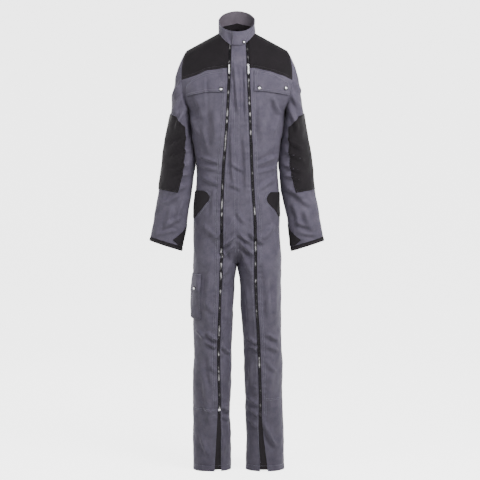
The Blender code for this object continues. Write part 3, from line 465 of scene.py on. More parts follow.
def folded(x, z, table):
    """The sum of folds: a bell-shaped ridge along a bowed line, with a softer trough beside it, each
    fading out towards the line's ends."""
    total = np.zeros(np.shape(x))
    for fold in table:
        x0, z0, x1, z1, width, height, bow = (value / 1000 for value in fold)
        width = width * FOLD_NARROW
        run = np.array((x1 - x0, z1 - z0))
        length = math.hypot(*run)
        t = ((x - x0) * run[0] + (z - z0) * run[1]) / length**2
        away = ((x - x0) * run[1] - (z - z0) * run[0]) / length - bow * (1 - (2 * t - 1) ** 2)
        fade = np.exp(-(np.clip(np.abs(2 * t - 1) - 0.5, 0.0, None) / 0.34) ** 2)
        trough = np.exp(-(((away - 1.6 * width) / (1.3 * width)) ** 2))
        ridge = np.exp(-((away / width) ** 2)) - 0.6 * trough
        total += FOLD_GAIN * height * fade * ridge
    return total


def waved(p):
    """Slow unevenness of hung cloth: a few sine waves through space."""
    total = np.zeros(p.shape[:-1])
    for across, through, up, phase, height in WAVES:
        turns = across * p[..., 0] + through * p[..., 1] + up * p[..., 2]
        total += height * np.sin(2 * math.pi * turns + phase)
    return total


def facing(n):
    """How much a place faces the front and how much the back."""
    return ease(0.35 - 1.3 * n[..., 1]), ease(0.35 + 1.3 * n[..., 1])


def body_relief(p, n):
    """How far torso and legs stand off their form: folds, slow waves, puckers and a welt beside the
    zips, sunk side seams; nothing at the armholes, neck and shoulder."""
    x, z = p[..., 0], p[..., 2] + ORIGIN_HEIGHT
    to_front, to_back = facing(n)
    relief = to_front * folded(x, z, FRONT_FOLDS) + BACK_SHARE * to_back * folded(x, z, BACK_FOLDS)
    relief = relief + waved(p)
    for name, side in SIDES.items():
        off = np.abs(side * (x - lean(z)) - read(ZIP_LINE, name, z))
        level = ease((z - SLIDER_ZONE[0]) / 0.02) * ease((SLIDER_ZONE[1] - z) / 0.02)
        by_slider = 1 - level * (1 - ease((off - 0.008) / 0.01))
        on_side = to_front * (side * x > 0) * ease((z - 0.17) / 0.03) * by_slider
        uneven = 2.0 * np.sin(z * 61.0 + side)
        pucker = np.sin(2 * math.pi * z / PUCKER_PITCH + uneven) * np.sin(z * 23.0 + side)
        relief = relief + on_side * PUCKER * pucker * np.exp(-(((off - 0.016) / 0.011) ** 2))
        relief = relief + on_side * WELT * (1 - ease((off - 0.0165) / 0.0035))
        relief = relief - on_side * GROOVE * np.exp(-(((off - 0.0085) / 0.0022) ** 2))
    seam = np.exp(-((p[..., 1] / 0.0028) ** 2)) * n[..., 0] ** 2
    relief = relief - SEAM_SINK * seam
    off_arm = np.hypot(
        np.clip(read(ARMHOLE, "out", z) - np.abs(x), 0.0, None), np.clip(UNDERARM - z, 0.0, None)
    )
    relief = relief * ease(off_arm / 0.030) * (1 - ease((z - 1.42) / 0.08))
    hem = np.exp(-(((z - HEM_LINE) / 0.0022) ** 2))
    swell = TORSO_SWELL * n[..., 0] ** 2 * ease((z - 1.06) / 0.05) * ease((1.282 - z) / 0.012)
    return relief - HEM_SINK * hem + swell


def sleeve_relief(p, n, drop):
    """How far a sleeve stands off its form: folds and slow waves, which fade out at its head, and a
    swell on the side towards the body."""
    x, z = p[..., 0], p[..., 2] + ORIGIN_HEIGHT
    to_front, to_back = facing(n)
    behind = BACK_SHARE * to_back * folded(x, z, SLEEVE_BACK_FOLDS)
    relief = to_front * folded(x, z, SLEEVE_FRONT_FOLDS) + behind
    inwards = np.clip(-np.sign(x) * n[..., 0], 0.0, 1.0) ** 2
    swell = SWELL * inwards * ease((z - 1.055) / 0.04)
    return (relief + waved(p)) * ease(drop / 0.035) + swell * ease(drop / 0.012)


def normals(side, grid, closed=False):
    """Outward unit normals of a grid: the cross product of its two central differences."""
    if closed:
        along = np.roll(grid, -1, axis=1) - np.roll(grid, 1, axis=1)
    else:
        along = np.gradient(grid, axis=1)
    return unit(np.cross(along, np.gradient(grid, axis=0)) * side)


def lay_body(side, grid, lift=0.0):
    """A grid of torso or leg moved out along its normals by its relief and a lift."""
    n = normals(side, grid)
    return grid + n * (body_relief(grid, n) + lift)[..., None], n


def lay_sleeve(side, grid, drop, lift=0.0, closed=False):
    """A grid of a sleeve moved out in the same way."""
    n = normals(side, grid, closed)
    return grid + n * (sleeve_relief(grid, n, drop) + lift)[..., None], n


# ---------------------------------------------------------------- finishes

def linear(code):
    """An sRGB hex colour as linear values with alpha."""
    parts = [int(code[i : i + 2], 16) / 255 for i in (1, 3, 5)]
    return tuple(c / 12.92 if c <= 0.04045 else ((c + 0.055) / 1.055) ** 2.4 for c in parts) + (1.0,)


def node(tree, kind, settings, links):
    """A node of this kind with settings on its fields or sockets, and links from other sockets."""
    made = tree.nodes.new(kind)
    for key, value in settings.items():
        if isinstance(key, str) and hasattr(made, key):
            setattr(made, key, value)
        else:
            made.inputs[key].default_value = value
    for key, source in links.items():
        tree.links.new(source, made.inputs[key])
    return made


def twill(name, main, light, dark, bump=0.35, sheen=0.08, rough=0.82, gloss=0.24):
    """Piece-dyed polyester and cotton twill: diagonal ribs, drawn at 2.4 mm though real ones are 0.6 mm,
    because finer ones don't show; a mottle where the dye has rubbed; a soft sheen of loose fibres."""
    made = bpy.data.materials.new(name)
    made.use_nodes = True
    tree = made.node_tree
    shader = tree.nodes["Principled BSDF"]
    shader.inputs["Roughness"].default_value = rough
    shader.inputs["Sheen Weight"].default_value = sheen
    shader.inputs["Sheen Roughness"].default_value = 0.45
    shader.inputs["Specular IOR Level"].default_value = gloss
    place = node(tree, "ShaderNodeTexCoord", {}, {})
    turned = node(
        tree, "ShaderNodeMapping", {"Rotation": (0.0, 0.0, math.radians(63))}, {"Vector": place.outputs["UV"]}
    )
    ribs = node(
        tree,
        "ShaderNodeTexWave",
        {"wave_type": "BANDS", "bands_direction": "X", "Scale": 1 / TWILL_PITCH / 20 * 2 * math.pi,
         "Distortion": 0.6, "Detail": 1.0, "Detail Scale": 2.0},
        {"Vector": turned.outputs["Vector"]},
    )
    mottle = node(
        tree, "ShaderNodeTexNoise", {"Scale": 26.0, "Detail": 6.0, "Roughness": 0.62},
        {"Vector": place.outputs["Object"]},
    )
    fine = node(
        tree, "ShaderNodeTexNoise", {"Scale": 420.0, "Detail": 3.0, "Roughness": 0.7},
        {"Vector": place.outputs["Object"]},
    )
    spotted = node(
        tree, "ShaderNodeMapRange", {"From Min": 0.22, "From Max": 0.78}, {"Value": mottle.outputs["Fac"]}
    )
    worn = node(
        tree, "ShaderNodeMix", {"data_type": "RGBA", 6: linear(dark), 7: linear(light)},
        {0: spotted.outputs["Result"]},
    )
    ribbed = node(
        tree, "ShaderNodeMapRange", {"To Min": 0.90, "To Max": 1.08}, {"Value": ribs.outputs["Fac"]}
    )
    flecked = node(
        tree, "ShaderNodeMapRange", {"From Min": 0.3, "From Max": 0.7, "To Min": 0.90, "To Max": 1.10},
        {"Value": fine.outputs["Fac"]},
    )
    both = node(
        tree, "ShaderNodeMath", {"operation": "MULTIPLY"},
        {0: ribbed.outputs["Result"], 1: flecked.outputs["Result"]},
    )
    toned = node(
        tree, "ShaderNodeMix", {"data_type": "RGBA", 0: 0.35, 7: linear(main)}, {6: worn.outputs[2]}
    )
    scaled = node(
        tree, "ShaderNodeVectorMath", {"operation": "SCALE"},
        {0: toned.outputs[2], "Scale": both.outputs["Value"]},
    )
    tree.links.new(scaled.outputs["Vector"], shader.inputs["Base Color"])
    height = node(
        tree, "ShaderNodeMath", {"operation": "ADD"}, {0: ribs.outputs["Fac"], 1: fine.outputs["Fac"]}
    )
    raised = node(
        tree, "ShaderNodeBump", {"Strength": bump, "Distance": 0.0005}, {"Height": height.outputs["Value"]}
    )
    tree.links.new(raised.outputs["Normal"], shader.inputs["Normal"])
    return made


def metal(name, colour, rough, grain, dull=None):
    """Die-cast or stamped metal: bright with fine scratches, its roughness uneven where it is handled.
    With a dull colour it is that dark, with painted glints: patches of about 20 mm in the bright colour."""
    made = bpy.data.materials.new(name)
    made.use_nodes = True
    tree = made.node_tree
    shader = tree.nodes["Principled BSDF"]
    shader.inputs["Metallic"].default_value = 1.0
    place = node(tree, "ShaderNodeTexCoord", {}, {})
    marks = node(
        tree, "ShaderNodeTexNoise", {"Scale": grain, "Detail": 5.0, "Roughness": 0.6},
        {"Vector": place.outputs["Object"]},
    )
    matt = node(
        tree, "ShaderNodeMapRange", {"To Min": rough * 0.7, "To Max": rough * 1.4},
        {"Value": marks.outputs["Fac"]},
    )
    tree.links.new(matt.outputs["Result"], shader.inputs["Roughness"])
    share = marks.outputs["Fac"]
    dulled = tuple(c * HANDLED for c in linear(colour)[:3]) + (1.0,)
    if dull:
        # with a dull colour, the bright colour is painted glints, laid in patches of noise on the dark metal
        dulled = linear(dull)
        glint_noise = node(
            tree, "ShaderNodeTexNoise", {"Scale": 42.0, "Detail": 2.0}, {"Vector": place.outputs["Object"]}
        )
        painted_glint_share = node(
            tree, "ShaderNodeMapRange", {"From Min": 0.54, "From Max": 0.66}, {"Value": glint_noise.outputs["Fac"]}
        )
        share = painted_glint_share.outputs["Result"]
    tint = node(tree, "ShaderNodeMix", {"data_type": "RGBA", 6: dulled, 7: linear(colour)}, {0: share})
    tree.links.new(tint.outputs[2], shader.inputs["Base Color"])
    raised = node(
        tree, "ShaderNodeBump", {"Strength": 0.15, "Distance": 0.0001}, {"Height": marks.outputs["Fac"]}
    )
    tree.links.new(raised.outputs["Normal"], shader.inputs["Normal"])
    return made


# Dyed twill is matt; thread is smoother and catches more light than the cloth it holds.
GREY = twill("grey_work_twill", "#544e60", "#6a6475", "#3c3746")
BLACK = twill("black_work_twill", "#0f0b0f", "#181318", "#090709", bump=0.45, sheen=0.02, gloss=0.16)
LINING = twill("collar_lining_twill", "#585058", "#635b66", "#463f49")
TAPE = twill(
    "woven_zip_tape", "#0d0b0f", "#151318", "#080709", bump=0.5, sheen=0.02, rough=0.75, gloss=0.16
)
GREY_THREAD = twill(
    "grey_polyester_thread", "#7d7b8c", "#8b899a", "#6b6979", bump=0.2, sheen=0.2, rough=0.6
)
BLACK_THREAD = twill(
    "black_polyester_thread", "#2c272d", "#373239", "#1d1a1e", bump=0.2, sheen=0.1, rough=0.6
)
# Teeth are blackened brass with painted glints of pale grey, the studs and pulls bright plated zinc, the
# rings under them dark.
GUNMETAL = metal("gunmetal_zip_teeth", "#a09ea1", 0.34, 900.0, dull="#232124")
NICKEL = metal("nickel_plated_zinc", "#c4c4c6", 0.16, 500.0)
DARK_RING = metal("blackened_brass_ring", "#2c2b2e", 0.35, 700.0)


# ---------------------------------------------------------------- meshes

def ring_faces(rows, count):
    """Quads between rows of points, where each row closes into a ring."""
    index = np.arange(rows * count).reshape(rows, count)
    wrap = np.concatenate([index, index[:, :1]], axis=1)
    return np.stack([wrap[:-1, :-1], wrap[:-1, 1:], wrap[1:, 1:], wrap[1:, :-1]], axis=-1).reshape(-1, 4)


def welded(mesh, reach, outwards=False):
    """Joins points that are nearer than reach, and turns faces outwards where asked."""
    work = bmesh.new()
    work.from_mesh(mesh)
    bmesh.ops.remove_doubles(work, verts=work.verts, dist=reach)
    if outwards:
        bmesh.ops.recalc_face_normals(work, faces=work.faces)
    work.to_mesh(mesh)
    work.free()
    mesh.shade_smooth()


def piece(name, grids, finishes, nodes, closed):
    """One mesh from grids of (points, uv): each grid's cells are quads; closed grids join round."""
    points, uvs, faces, start = [], [], [], 0
    for grid, uv in grids:
        rows, columns = grid.shape[:2]
        index = start + np.arange(rows * columns).reshape(rows, columns)
        if closed:
            index = np.concatenate([index, index[:, :1]], axis=1)
        quads = np.stack([index[:-1, :-1], index[:-1, 1:], index[1:, 1:], index[1:, :-1]], axis=-1)
        faces.append(quads.reshape(-1, 4))
        points.append(grid.reshape(-1, 3))
        uvs.append(np.asarray(uv).reshape(-1, 2))
        start += rows * columns
    points, uvs, faces = np.concatenate(points), np.concatenate(uvs), np.concatenate(faces)
    mesh = bpy.data.meshes.new(name)
    mesh.from_pydata(points.tolist(), [], faces.tolist())
    layer = mesh.uv_layers.new(name="cloth")
    layer.data.foreach_set("uv", uvs[faces.reshape(-1)].reshape(-1).astype(np.float32))
    welded(mesh, WELD)
    made = bpy.data.objects.new(name, mesh)
    bpy.context.scene.collection.objects.link(made)
    for finish in finishes:
        mesh.materials.append(finish)
    if nodes:
        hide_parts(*nodes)
    return made


def run_lengths(grid):
    """Metres along each row and each column of a grid, which are its cloth's own coordinates."""
    across = np.linalg.norm(np.diff(grid, axis=1), axis=-1)
    along = np.linalg.norm(np.diff(grid, axis=0), axis=-1)
    a = np.concatenate([np.zeros((grid.shape[0], 1)), np.cumsum(across, axis=1)], axis=1)
    b = np.concatenate([np.zeros((1, grid.shape[1])), np.cumsum(along, axis=0)], axis=0)
    return np.stack([a, b], axis=-1)


def cloth(name, side_grids, finish, nodes, thick=CLOTH, closed=False, lining=None):
    """A shell of cloth from grids on its outside, given its thickness inwards.  Its width, length and
    area are worked out from the grids but not used."""
    grids, width, length, area = [], 0.0, 0.0, 0.0
    for side, grid in side_grids:
        uv = run_lengths(grid)
        width += float(uv[:, -1, 0].max())
        if closed:
            width += float(np.linalg.norm(grid[:, 0] - grid[:, -1], axis=-1).max())
        length = max(length, float(uv[-1, :, 1].max()))
        loop = np.concatenate([grid, grid[:, :1]], axis=1) if closed else grid
        d1, d2 = loop[1:, 1:] - loop[:-1, :-1], loop[1:, :-1] - loop[:-1, 1:]
        area += float(np.linalg.norm(np.cross(d1, d2), axis=-1).sum() / 2)
        grids.append((grid, uv) if side > 0 else (grid[:, ::-1], uv[:, ::-1]))
    finishes = [finish] if lining is None else [finish, lining]
    made = piece(name, grids, finishes, nodes, closed)
    wall = made.modifiers.new("thickness", "SOLIDIFY")
    wall.thickness = thick
    wall.offset = -1.0
    if lining is not None:
        wall.material_offset = 1
    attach(made, "suit")
    return made


NEAR = np.array((0.0, 0.0012, 0.0026, 0.0045, 0.0070, 0.0092, 0.0108, 0.0124, 0.0145, 0.0185, 0.0235))
FAR = np.array((0.0, 0.0014, 0.0030, 0.0052, 0.0085))
CENTRE_NEAR = np.array((0.0, 0.0015, 0.0035))
ROW = 0.0044


def by_arc(side, low, high, z, near, far, middle):
    """u for the columns of each row: set distances in from both edges, and even steps between."""
    fine = np.linspace(0.0, 1.0, 121)
    u = low[:, None] + fine * (high - low)[:, None]
    p = body(side, u, z[:, None])
    run = np.cumsum(np.linalg.norm(np.diff(p, axis=1), axis=-1), axis=1)
    s = np.concatenate([np.zeros((len(z), 1)), run], axis=1)
    total = s[:, -1:]
    squeeze = np.minimum(1.0, 0.85 * total / (near[-1] + far[-1]))
    share = np.linspace(0.0, 1.0, middle + 1)[1:-1]
    a, b = near[-1] * squeeze, total - far[-1] * squeeze
    wanted = np.concatenate([near * squeeze, a + share * (b - a), total - far[::-1] * squeeze], axis=1)
    return lookup(s, wanted, u)


def heights_between(low, high, step=ROW, at_low=(), at_high=()):
    """Heights from low to high in even steps, with closer ones at set distances from either end."""
    a = low + (at_low[-1] if len(at_low) else 0.0)
    b = high - (at_high[-1] if len(at_high) else 0.0)
    even = np.linspace(a, b, max(2, int(round((b - a) / step)) + 1))
    return np.unique(np.concatenate([low + np.array([0.0, *at_low]), even, high - np.array([0.0, *at_high])]))


HEM = (0.0015, 0.006, 0.012, 0.0165, 0.0185, 0.020, 0.0215, 0.0235)
EDGE = (0.0015, 0.003, 0.005)


def zip_edge(name, z, outwards):
    """The u of a panel's edge beside a zip: half a channel from its line, wider below its end."""
    widening = np.clip(1.0 - z / ZIP_END[name], 0.0, 1.0)
    half = CHANNEL + (GUSSET_HALF_WIDTH[name] - CHANNEL) * widening
    return across_at(read(ZIP_LINE, name, z) + outwards * half, z)


def chest_grid(side, low_edge, high_edge, top, out, near, far, middle):
    """The upper part of a panel, whose rows rise from the level underarm to a shaped top edge."""
    share = heights_between(0.0, 1.0, ROW / (MID_ARM - UNDERARM), at_high=(0.015, 0.03, 0.05))[1:, None]
    z = UNDERARM + share * (top(out)[None, :] - UNDERARM)
    for _ in range(5):
        u = by_arc(side, low_edge(z[:, 0]), high_edge(z[:, -1]), z.mean(axis=1), near, far, middle)
        x = np.abs(body(side, u[-1], z[-1])[:, 0])
        z = UNDERARM + share * (top(x)[None, :] - UNDERARM)
    return body(side, u, z)


def front(name, side):
    """A front, from the shin seam up to the yoke."""
    z = heights_between(SHIN_SEAM[name], UNDERARM, at_low=EDGE)
    u = by_arc(side, zip_edge(name, z, 1), np.full(len(z), 0.5), z, NEAR, FAR, 26)
    lower = body(side, u, z[:, None])
    out = np.linspace(0.045, 0.195, u.shape[1])
    upper = chest_grid(
        side, lambda h: zip_edge(name, h, 1), arm_edge, lambda x: read(YOKE_EDGE, name, x), out, NEAR, FAR, 26
    )
    grid, _ = lay_body(side, np.concatenate([lower, upper]))
    cloth(f"front_panel_{name}", [(side, grid)], GREY, [f"front_{name}"])


def shin(name, side):
    """The lower part of a front leg, from the hem up to its seam."""
    z = heights_between(0.0, SHIN_SEAM[name], at_low=HEM, at_high=EDGE)
    u = by_arc(side, zip_edge(name, z, 1), np.full(len(z), 0.5), z, NEAR, FAR, 24)
    grid, _ = lay_body(side, body(side, u, z[:, None]))
    cloth(f"shin_panel_{name}", [(side, grid)], GREY, [f"shin_{name}"])


def centre():
    """The strip between the zips and both inner legs, in one piece."""
    grids = []
    for name, side in SIDES.items():
        z = heights_between(0.0, ROLL_START, at_low=HEM)
        high = zip_edge(name, z, -1)
        u = by_arc(side, np.zeros(len(z)), high, z, CENTRE_NEAR, NEAR[:9], 10)
        lower = body(side, u, z[:, None])
        edge = float(read(ZIP_LINE, name, neck(0.0)) - CHANNEL)
        x = edge * (np.sin(math.pi * u[-1]) / np.sin(math.pi * u[-1, -1])) ** (2 / SQUARENESS)
        steps = np.linspace(0.0, 1.0, 44)[1:, None]
        h = roll_height(x, steps * roll_angle(x, neck(x), FRONT_ROLL), FRONT_ROLL)
        width = (read(ZIP_LINE, name, h[:, -1]) - CHANNEL)[:, None]
        upper = body(side, turn_at(x / edge * width, h), h)
        grid, _ = lay_body(side, np.concatenate([lower, upper]))
        above = grid[:, 0, 2] + ORIGIN_HEIGHT > CROTCH
        grid[above, 0, 0] = 0.0
        grids.append((side, grid))
    cloth("front_centre_panel", grids, GREY, ["front_centre"])


def back(name, side):
    """A back, from the side seam to the centre back seam and the inseam, up to the yoke."""
    z = heights_between(0.0, UNDERARM, at_low=HEM)
    u = by_arc(side, np.full(len(z), 0.5), np.ones(len(z)), z, FAR, FAR, 44)
    lower = body(side, u, z[:, None])
    out = np.linspace(0.195, 0.0, u.shape[1])
    upper = chest_grid(
        side, lambda h: arm_edge(h, back=True), lambda h: np.ones(len(h)),
        lambda x: np.full(len(x), BACK_YOKE_EDGE), out, FAR, FAR, 44,
    )
    grid, _ = lay_body(side, np.concatenate([lower, upper]))
    above = grid[:, -1, 2] + ORIGIN_HEIGHT > CROTCH
    grid[above, -1, 0] = 0.0
    cloth(f"back_panel_{name}", [(side, grid)], GREY, [f"back_{name}"])


def yoke_grid(side, start, low_edge, on_back, columns=34, rows=40):
    """A yoke, from its lower edge over the rounding of the shoulder to neckline and crest."""
    roll = BACK_ROLL if on_back else FRONT_ROLL
    low_start, top_start = start
    low_end = float(read(ARMHOLE, "out", MID_ARM))
    bend = (NECK_HALF_WIDTH - top_start) / (SHOULDER_TIP - top_start)
    gather = np.sin(np.linspace(0.0, math.pi / 2, columns // 2 + 1))
    share = np.concatenate([bend * gather, np.linspace(bend, 1.0, columns // 2 + 1)[1:]])
    low_x = low_start + share * (low_end - low_start)
    top_x = top_start + share * (SHOULDER_TIP - top_start)
    top_z = np.where(top_x < NECK_HALF_WIDTH - 1e-5, neck(top_x, on_back), shoulder(top_x))
    arm = arm_height(np.linspace(0.5, 1.0, rows + 1))
    out = read(ARMHOLE, "out", arm)
    edge = roll_angle(out, arm, roll)
    level = ((edge - edge[0]) / (edge[-1] - edge[0]))[:, None]
    low_turn = roll_angle(low_x, low_edge(low_x), roll)
    top_turn = roll_angle(top_x, top_z, roll)
    turn = low_turn + level * (top_turn - low_turn)
    near = low_start + level * (top_start - low_start)
    x = near + share * (out[:, None] - near)
    z = roll_height(x, turn, roll)
    u = turn_at(x, z)
    return body(side, 1.0 - u if on_back else u, z)


def yokes():
    """The front yokes, and the back yoke as two halves joined at the middle."""
    for name, side in SIDES.items():
        start = [float(read(ZIP_LINE, name, height)) + CHANNEL for height in (1.43, neck(0.03))]
        grid = yoke_grid(side, start, lambda x: read(YOKE_EDGE, name, x), False)
        grid, _ = lay_body(side, grid)
        cloth(f"front_yoke_{name}", [(side, grid)], BLACK, [f"yoke_front_{name}"])
    grids = []
    for side in SIDES.values():
        grid = yoke_grid(side, (0.0, 0.0), lambda x: np.full(len(x), BACK_YOKE_EDGE), True)
        grid = lay_body(-side, grid)[0]
        grid[:, 0, 0] = 0.0
        grids.append((-side, grid))
    cloth("back_yoke", grids, BLACK, ["yoke_back"])


def sleeve_tube(name, side):
    """A sleeve, closed all round from the armhole to the cuff's seam, and its band below."""
    end = drop_at(CUFF_SEAM)
    drops = np.concatenate([[0.0, 0.002, 0.004], np.arange(0.008, end, ROW), [end]])
    v = np.arange(84) / 84
    grid, _ = lay_sleeve(side, sleeve(side, v, drops[:, None]), drops[:, None], closed=True)
    cloth(f"sleeve_tube_{name}", [(side, grid)], GREY, [f"sleeve_{name}"],
          closed=True)
    drops = np.linspace(drop_at(CUFF_SEAM), drop_at(CUFF_END), 8)
    lift = 0.0006 + 0.0008 * np.sin(np.linspace(0, math.pi, 8))[:, None]
    grid, _ = lay_sleeve(side, sleeve(side, v, drops[:, None]), drops[:, None], lift, closed=True)
    cloth(f"cuff_band_{name}", [(side, grid)], BLACK, [f"cuff_{name}"],
          closed=True, thick=0.0018)


def fine_rows(rows, count):
    """A table's rows taken at even steps, by straight lines between them."""
    rows = np.array(rows)
    at = np.linspace(0.0, len(rows) - 1.0, count)
    return np.stack([np.interp(at, np.arange(len(rows)), column) for column in rows.T], axis=1)


def spread(low, high, steps):
    """Even steps from low to high, along each row."""
    share = np.linspace(0.0, 1.0, steps + 1)
    return np.asarray(low)[:, None] * (1 - share) + np.asarray(high)[:, None] * share


def rim(rows, columns, width_rows, width_columns):
    """1 inside a patch and falling to 0 at its edges, over set shares of its rows and columns."""
    r = np.linspace(0, 1, rows)[:, None]
    c = np.linspace(0, 1, columns)[None, :]
    return np.minimum(ease(np.minimum(r, 1 - r) / width_rows), ease(np.minimum(c, 1 - c) / width_columns))


def patches(name, side):
    """The dark patches on elbow, cuff and hip, each a thickness off the cloth below."""
    rows = fine_rows(ELBOW, 60)
    v = spread(np.full(len(rows), ELBOW_BACK), rows[:, 1], 46)
    base = sleeve(side, v, rows[:, :1])
    lift = 0.0017 + 0.0008 * rim(*v.shape, 0.04, 0.06)
    grid, _ = lay_sleeve(side, base, rows[:, :1], lift)
    cloth(f"elbow_reinforcement_{name}", [(side, grid)], BLACK, [f"elbow_patch_{name}"])
    rows = fine_rows(CUFF_GUSSET, 26)
    v = spread(0.5 - rows[:, 1], 0.5 + rows[:, 1], 40)
    drop = drop_at(rows[:, :1])
    grid, _ = lay_sleeve(side, sleeve(side, v, drop), drop, 0.0016 + 0.0006 * rim(*v.shape, 0.1, 0.1))
    cloth(f"cuff_wedge_{name}", [(side, grid)], BLACK, [f"cuff_gusset_{name}"])
    rows = fine_rows(HIP_FACING[name], 34)
    u = spread(across_at(rows[:, 1], rows[:, 0]), np.full(len(rows), 0.4976), 26)
    grid, _ = lay_body(side, body(side, u, rows[:, :1]), 0.0016 + 0.0007 * rim(*u.shape, 0.08, 0.1))
    cloth(f"hip_pocket_facing_{name}", [(side, grid)], BLACK, [f"hip_facing_{name}"])


def chest_flap(name, side):
    """A shaped flap: it stands off a little along its free lower edge."""
    rows = fine_rows(CHEST_FLAP[name], 48)
    share = np.linspace(0.0, 1.0, 28)[:, None]
    z = rows[:, 2] + share * (rows[:, 1] - rows[:, 2])
    u = across_at(np.broadcast_to(rows[:, 0], z.shape), z)
    edge = rim(*z.shape, 0.05, 0.03)
    curl = (1 - ease(share / 0.45)) * (0.6 + 0.4 * np.cos(rows[:, 0] * 90.0))
    lift = 0.0020 + 0.0012 * edge + 0.0026 * curl
    lift = lift - 0.0009 * np.exp(-(((share - 0.82) / 0.03) ** 2))
    grid, _ = lay_body(side, body(side, u, z), lift)
    cloth(f"chest_pocket_flap_{name}", [(side, grid)], GREY, [f"chest_flap_{name}"],
          thick=0.0016)


def hem_gusset(name, side):
    """The dark wedge below a zip's end, pleated inwards by half a sine across it."""
    z = heights_between(0.005, ZIP_END[name], at_low=EDGE)
    low, high = zip_edge(name, z, -1), zip_edge(name, z, 1)
    grid = body(side, spread(low, high, 8), z[:, None])
    fade = ease((ZIP_END[name] - z) / 0.1)[:, None]
    pleat = -0.0014 - 0.0030 * np.sin(np.linspace(0, math.pi, 9))[None, :] * fade
    grid, _ = lay_body(side, grid, pleat)
    cloth(f"hem_wedge_{name}", [(side, grid)], BLACK, [f"hem_gusset_{name}"])


def thigh_pocket():
    """A bellows pocket that bulges off the thigh, and the flap that stands off over it."""
    side = -1
    z = heights_between(CARGO["low"], CARGO["high"], at_low=EDGE, at_high=EDGE)
    u = spread(across_at(np.full(len(z), CARGO["front"]), z), np.full(len(z), CARGO["back"]), 36)
    r = np.linspace(0, 1, len(z))[:, None]
    c = np.linspace(0, 1, 37)[None, :]
    lift = 0.0014 + 0.0075 * ease(np.sin(math.pi * c) / 0.45) * ease(np.sin(math.pi * r) / 0.4)
    lift = lift + 0.0012 * np.sin(21 * c + 6 * r) * np.sin(math.pi * c) * np.sin(math.pi * r)
    grid, _ = lay_body(side, body(side, u, z[:, None]), lift)
    cloth("thigh_pocket_bellows", [(side, grid)], GREY, ["cargo_pocket"])
    z = heights_between(CARGO["flap_low"], CARGO["flap_high"], step=0.003, at_low=EDGE)
    far = np.full(len(z), CARGO["back"] + 0.005)
    u = spread(across_at(np.full(len(z), CARGO["front"] - 0.002), z), far, 38)
    share = ((z - z[0]) / (z[-1] - z[0]))[:, None]
    lift = 0.0022 + 0.0100 * (1 - share) ** 0.8
    lift = lift + 0.0010 * np.sin(np.linspace(0, 9, 39))[None, :] * (1 - share)
    grid, _ = lay_body(side, body(side, u, z[:, None]), lift)
    cloth("thigh_pocket_flap", [(side, grid)], GREY, ["cargo_flap"],
          thick=0.0016)


def collar():
    """A stand collar with a lining, its top edge rolled a little outwards, and its slanted tab."""
    turn = np.linspace(0.004, 2 * math.pi - 0.004, 180)[None, :]
    up = heights_between(0.0, 1.0, 0.06, at_low=(0.02, 0.05), at_high=(0.01, 0.03, 0.06))[:, None]
    turn, up = np.broadcast_arrays(turn, up)
    base = collar_points(turn, up)
    n = normals(1, base)
    soft = 0.0011 * np.sin(3 * turn + 1.1) * np.sin(2.4 * up) + 0.0007 * np.sin(9 * turn + 4 * up)
    soft = soft + 0.0022 * np.sin(5 * turn + 0.6) * np.sin(math.pi * up) * ease(np.cos(turn))
    soft = soft - 0.0008 * np.exp(-(((up - 0.90) / 0.02) ** 2))
    soft = soft - 0.0006 * np.exp(-(((up - 0.05) / 0.02) ** 2))
    grid = base + n * (soft * ease(up / 0.2) + 0.0008 * up**3)[..., None]
    cloth("stand_collar", [(1, grid)], GREY, ["collar"], thick=0.0024,
          lining=LINING)
    turn = np.linspace(0.5, 2 * math.pi - 0.5, 120)[None, :]
    low = np.linspace(0.0, 1.0, 14)[:, None]
    reach_up = 0.40 + 0.06 * np.cos(turn)
    base = collar_points(*np.broadcast_arrays(turn, low * reach_up))
    grid = base - normals(1, base) * 0.0046
    cloth("neck_facing", [(-1, grid)], BLACK, (), thick=0.0005)
    rows = fine_rows(COLLAR_TAB, 26)
    turn = spread(rows[:, 1], rows[:, 2], 40)
    base = collar_points(turn, np.broadcast_to(rows[:, :1], turn.shape))
    lift = 0.0018 + 0.0010 * rim(*turn.shape, 0.06, 0.05)
    grid = base + normals(1, base) * lift[..., None]
    cloth("collar_closing_tab", [(1, grid)], GREY, ["collar_tab"], thick=0.0016)


# ---------------------------------------------------------------- zips, threads and studs

def on_body(side, x, z, lift=0.0):
    """Points and normals on the creased front at x from the middle, height z."""
    x, z = np.broadcast_arrays(np.asarray(x, float), np.asarray(z, float))
    step = 0.0015
    strip = np.stack([body(side, across_at(x + d, z), z) for d in (-step, 0.0, step)], axis=1)
    up = body(side, across_at(x, z + step), z + step) - body(side, across_at(x, z - step), z - step)
    n = unit(np.cross(strip[:, 2] - strip[:, 0], up) * side)
    p = strip[:, 1]
    return p + n * (body_relief(p, n) + lift)[:, None], n


def on_surface(side, u, z, lift=0.0):
    """Points and normals on the creased body at u and z."""
    u, z = np.broadcast_arrays(np.asarray(u, float), np.asarray(z, float))
    e, h = 0.002, 0.0015
    low, high = np.clip(u - e, 0, 1), np.clip(u + e, 0, 1)
    across = body(side, high, z) - body(side, low, z)
    n = unit(np.cross(across, body(side, u, z + h) - body(side, u, z - h)) * side)
    p = body(side, u, z)
    return p + n * (body_relief(p, n) + lift)[:, None], n


def on_sleeve(side, v, drop, lift=0.0):
    """Points and normals on the creased sleeve at v and drop."""
    v, drop = np.broadcast_arrays(np.asarray(v, float), np.asarray(drop, float))
    e, h = 0.003, 0.0015
    across = sleeve(side, v + e, drop) - sleeve(side, v - e, drop)
    down = sleeve(side, v, drop + h) - sleeve(side, v, np.maximum(drop - h, 0.0))
    n = unit(np.cross(across, down) * side)
    p = sleeve(side, v, drop)
    return p + n * (sleeve_relief(p, n, drop) + lift)[:, None], n


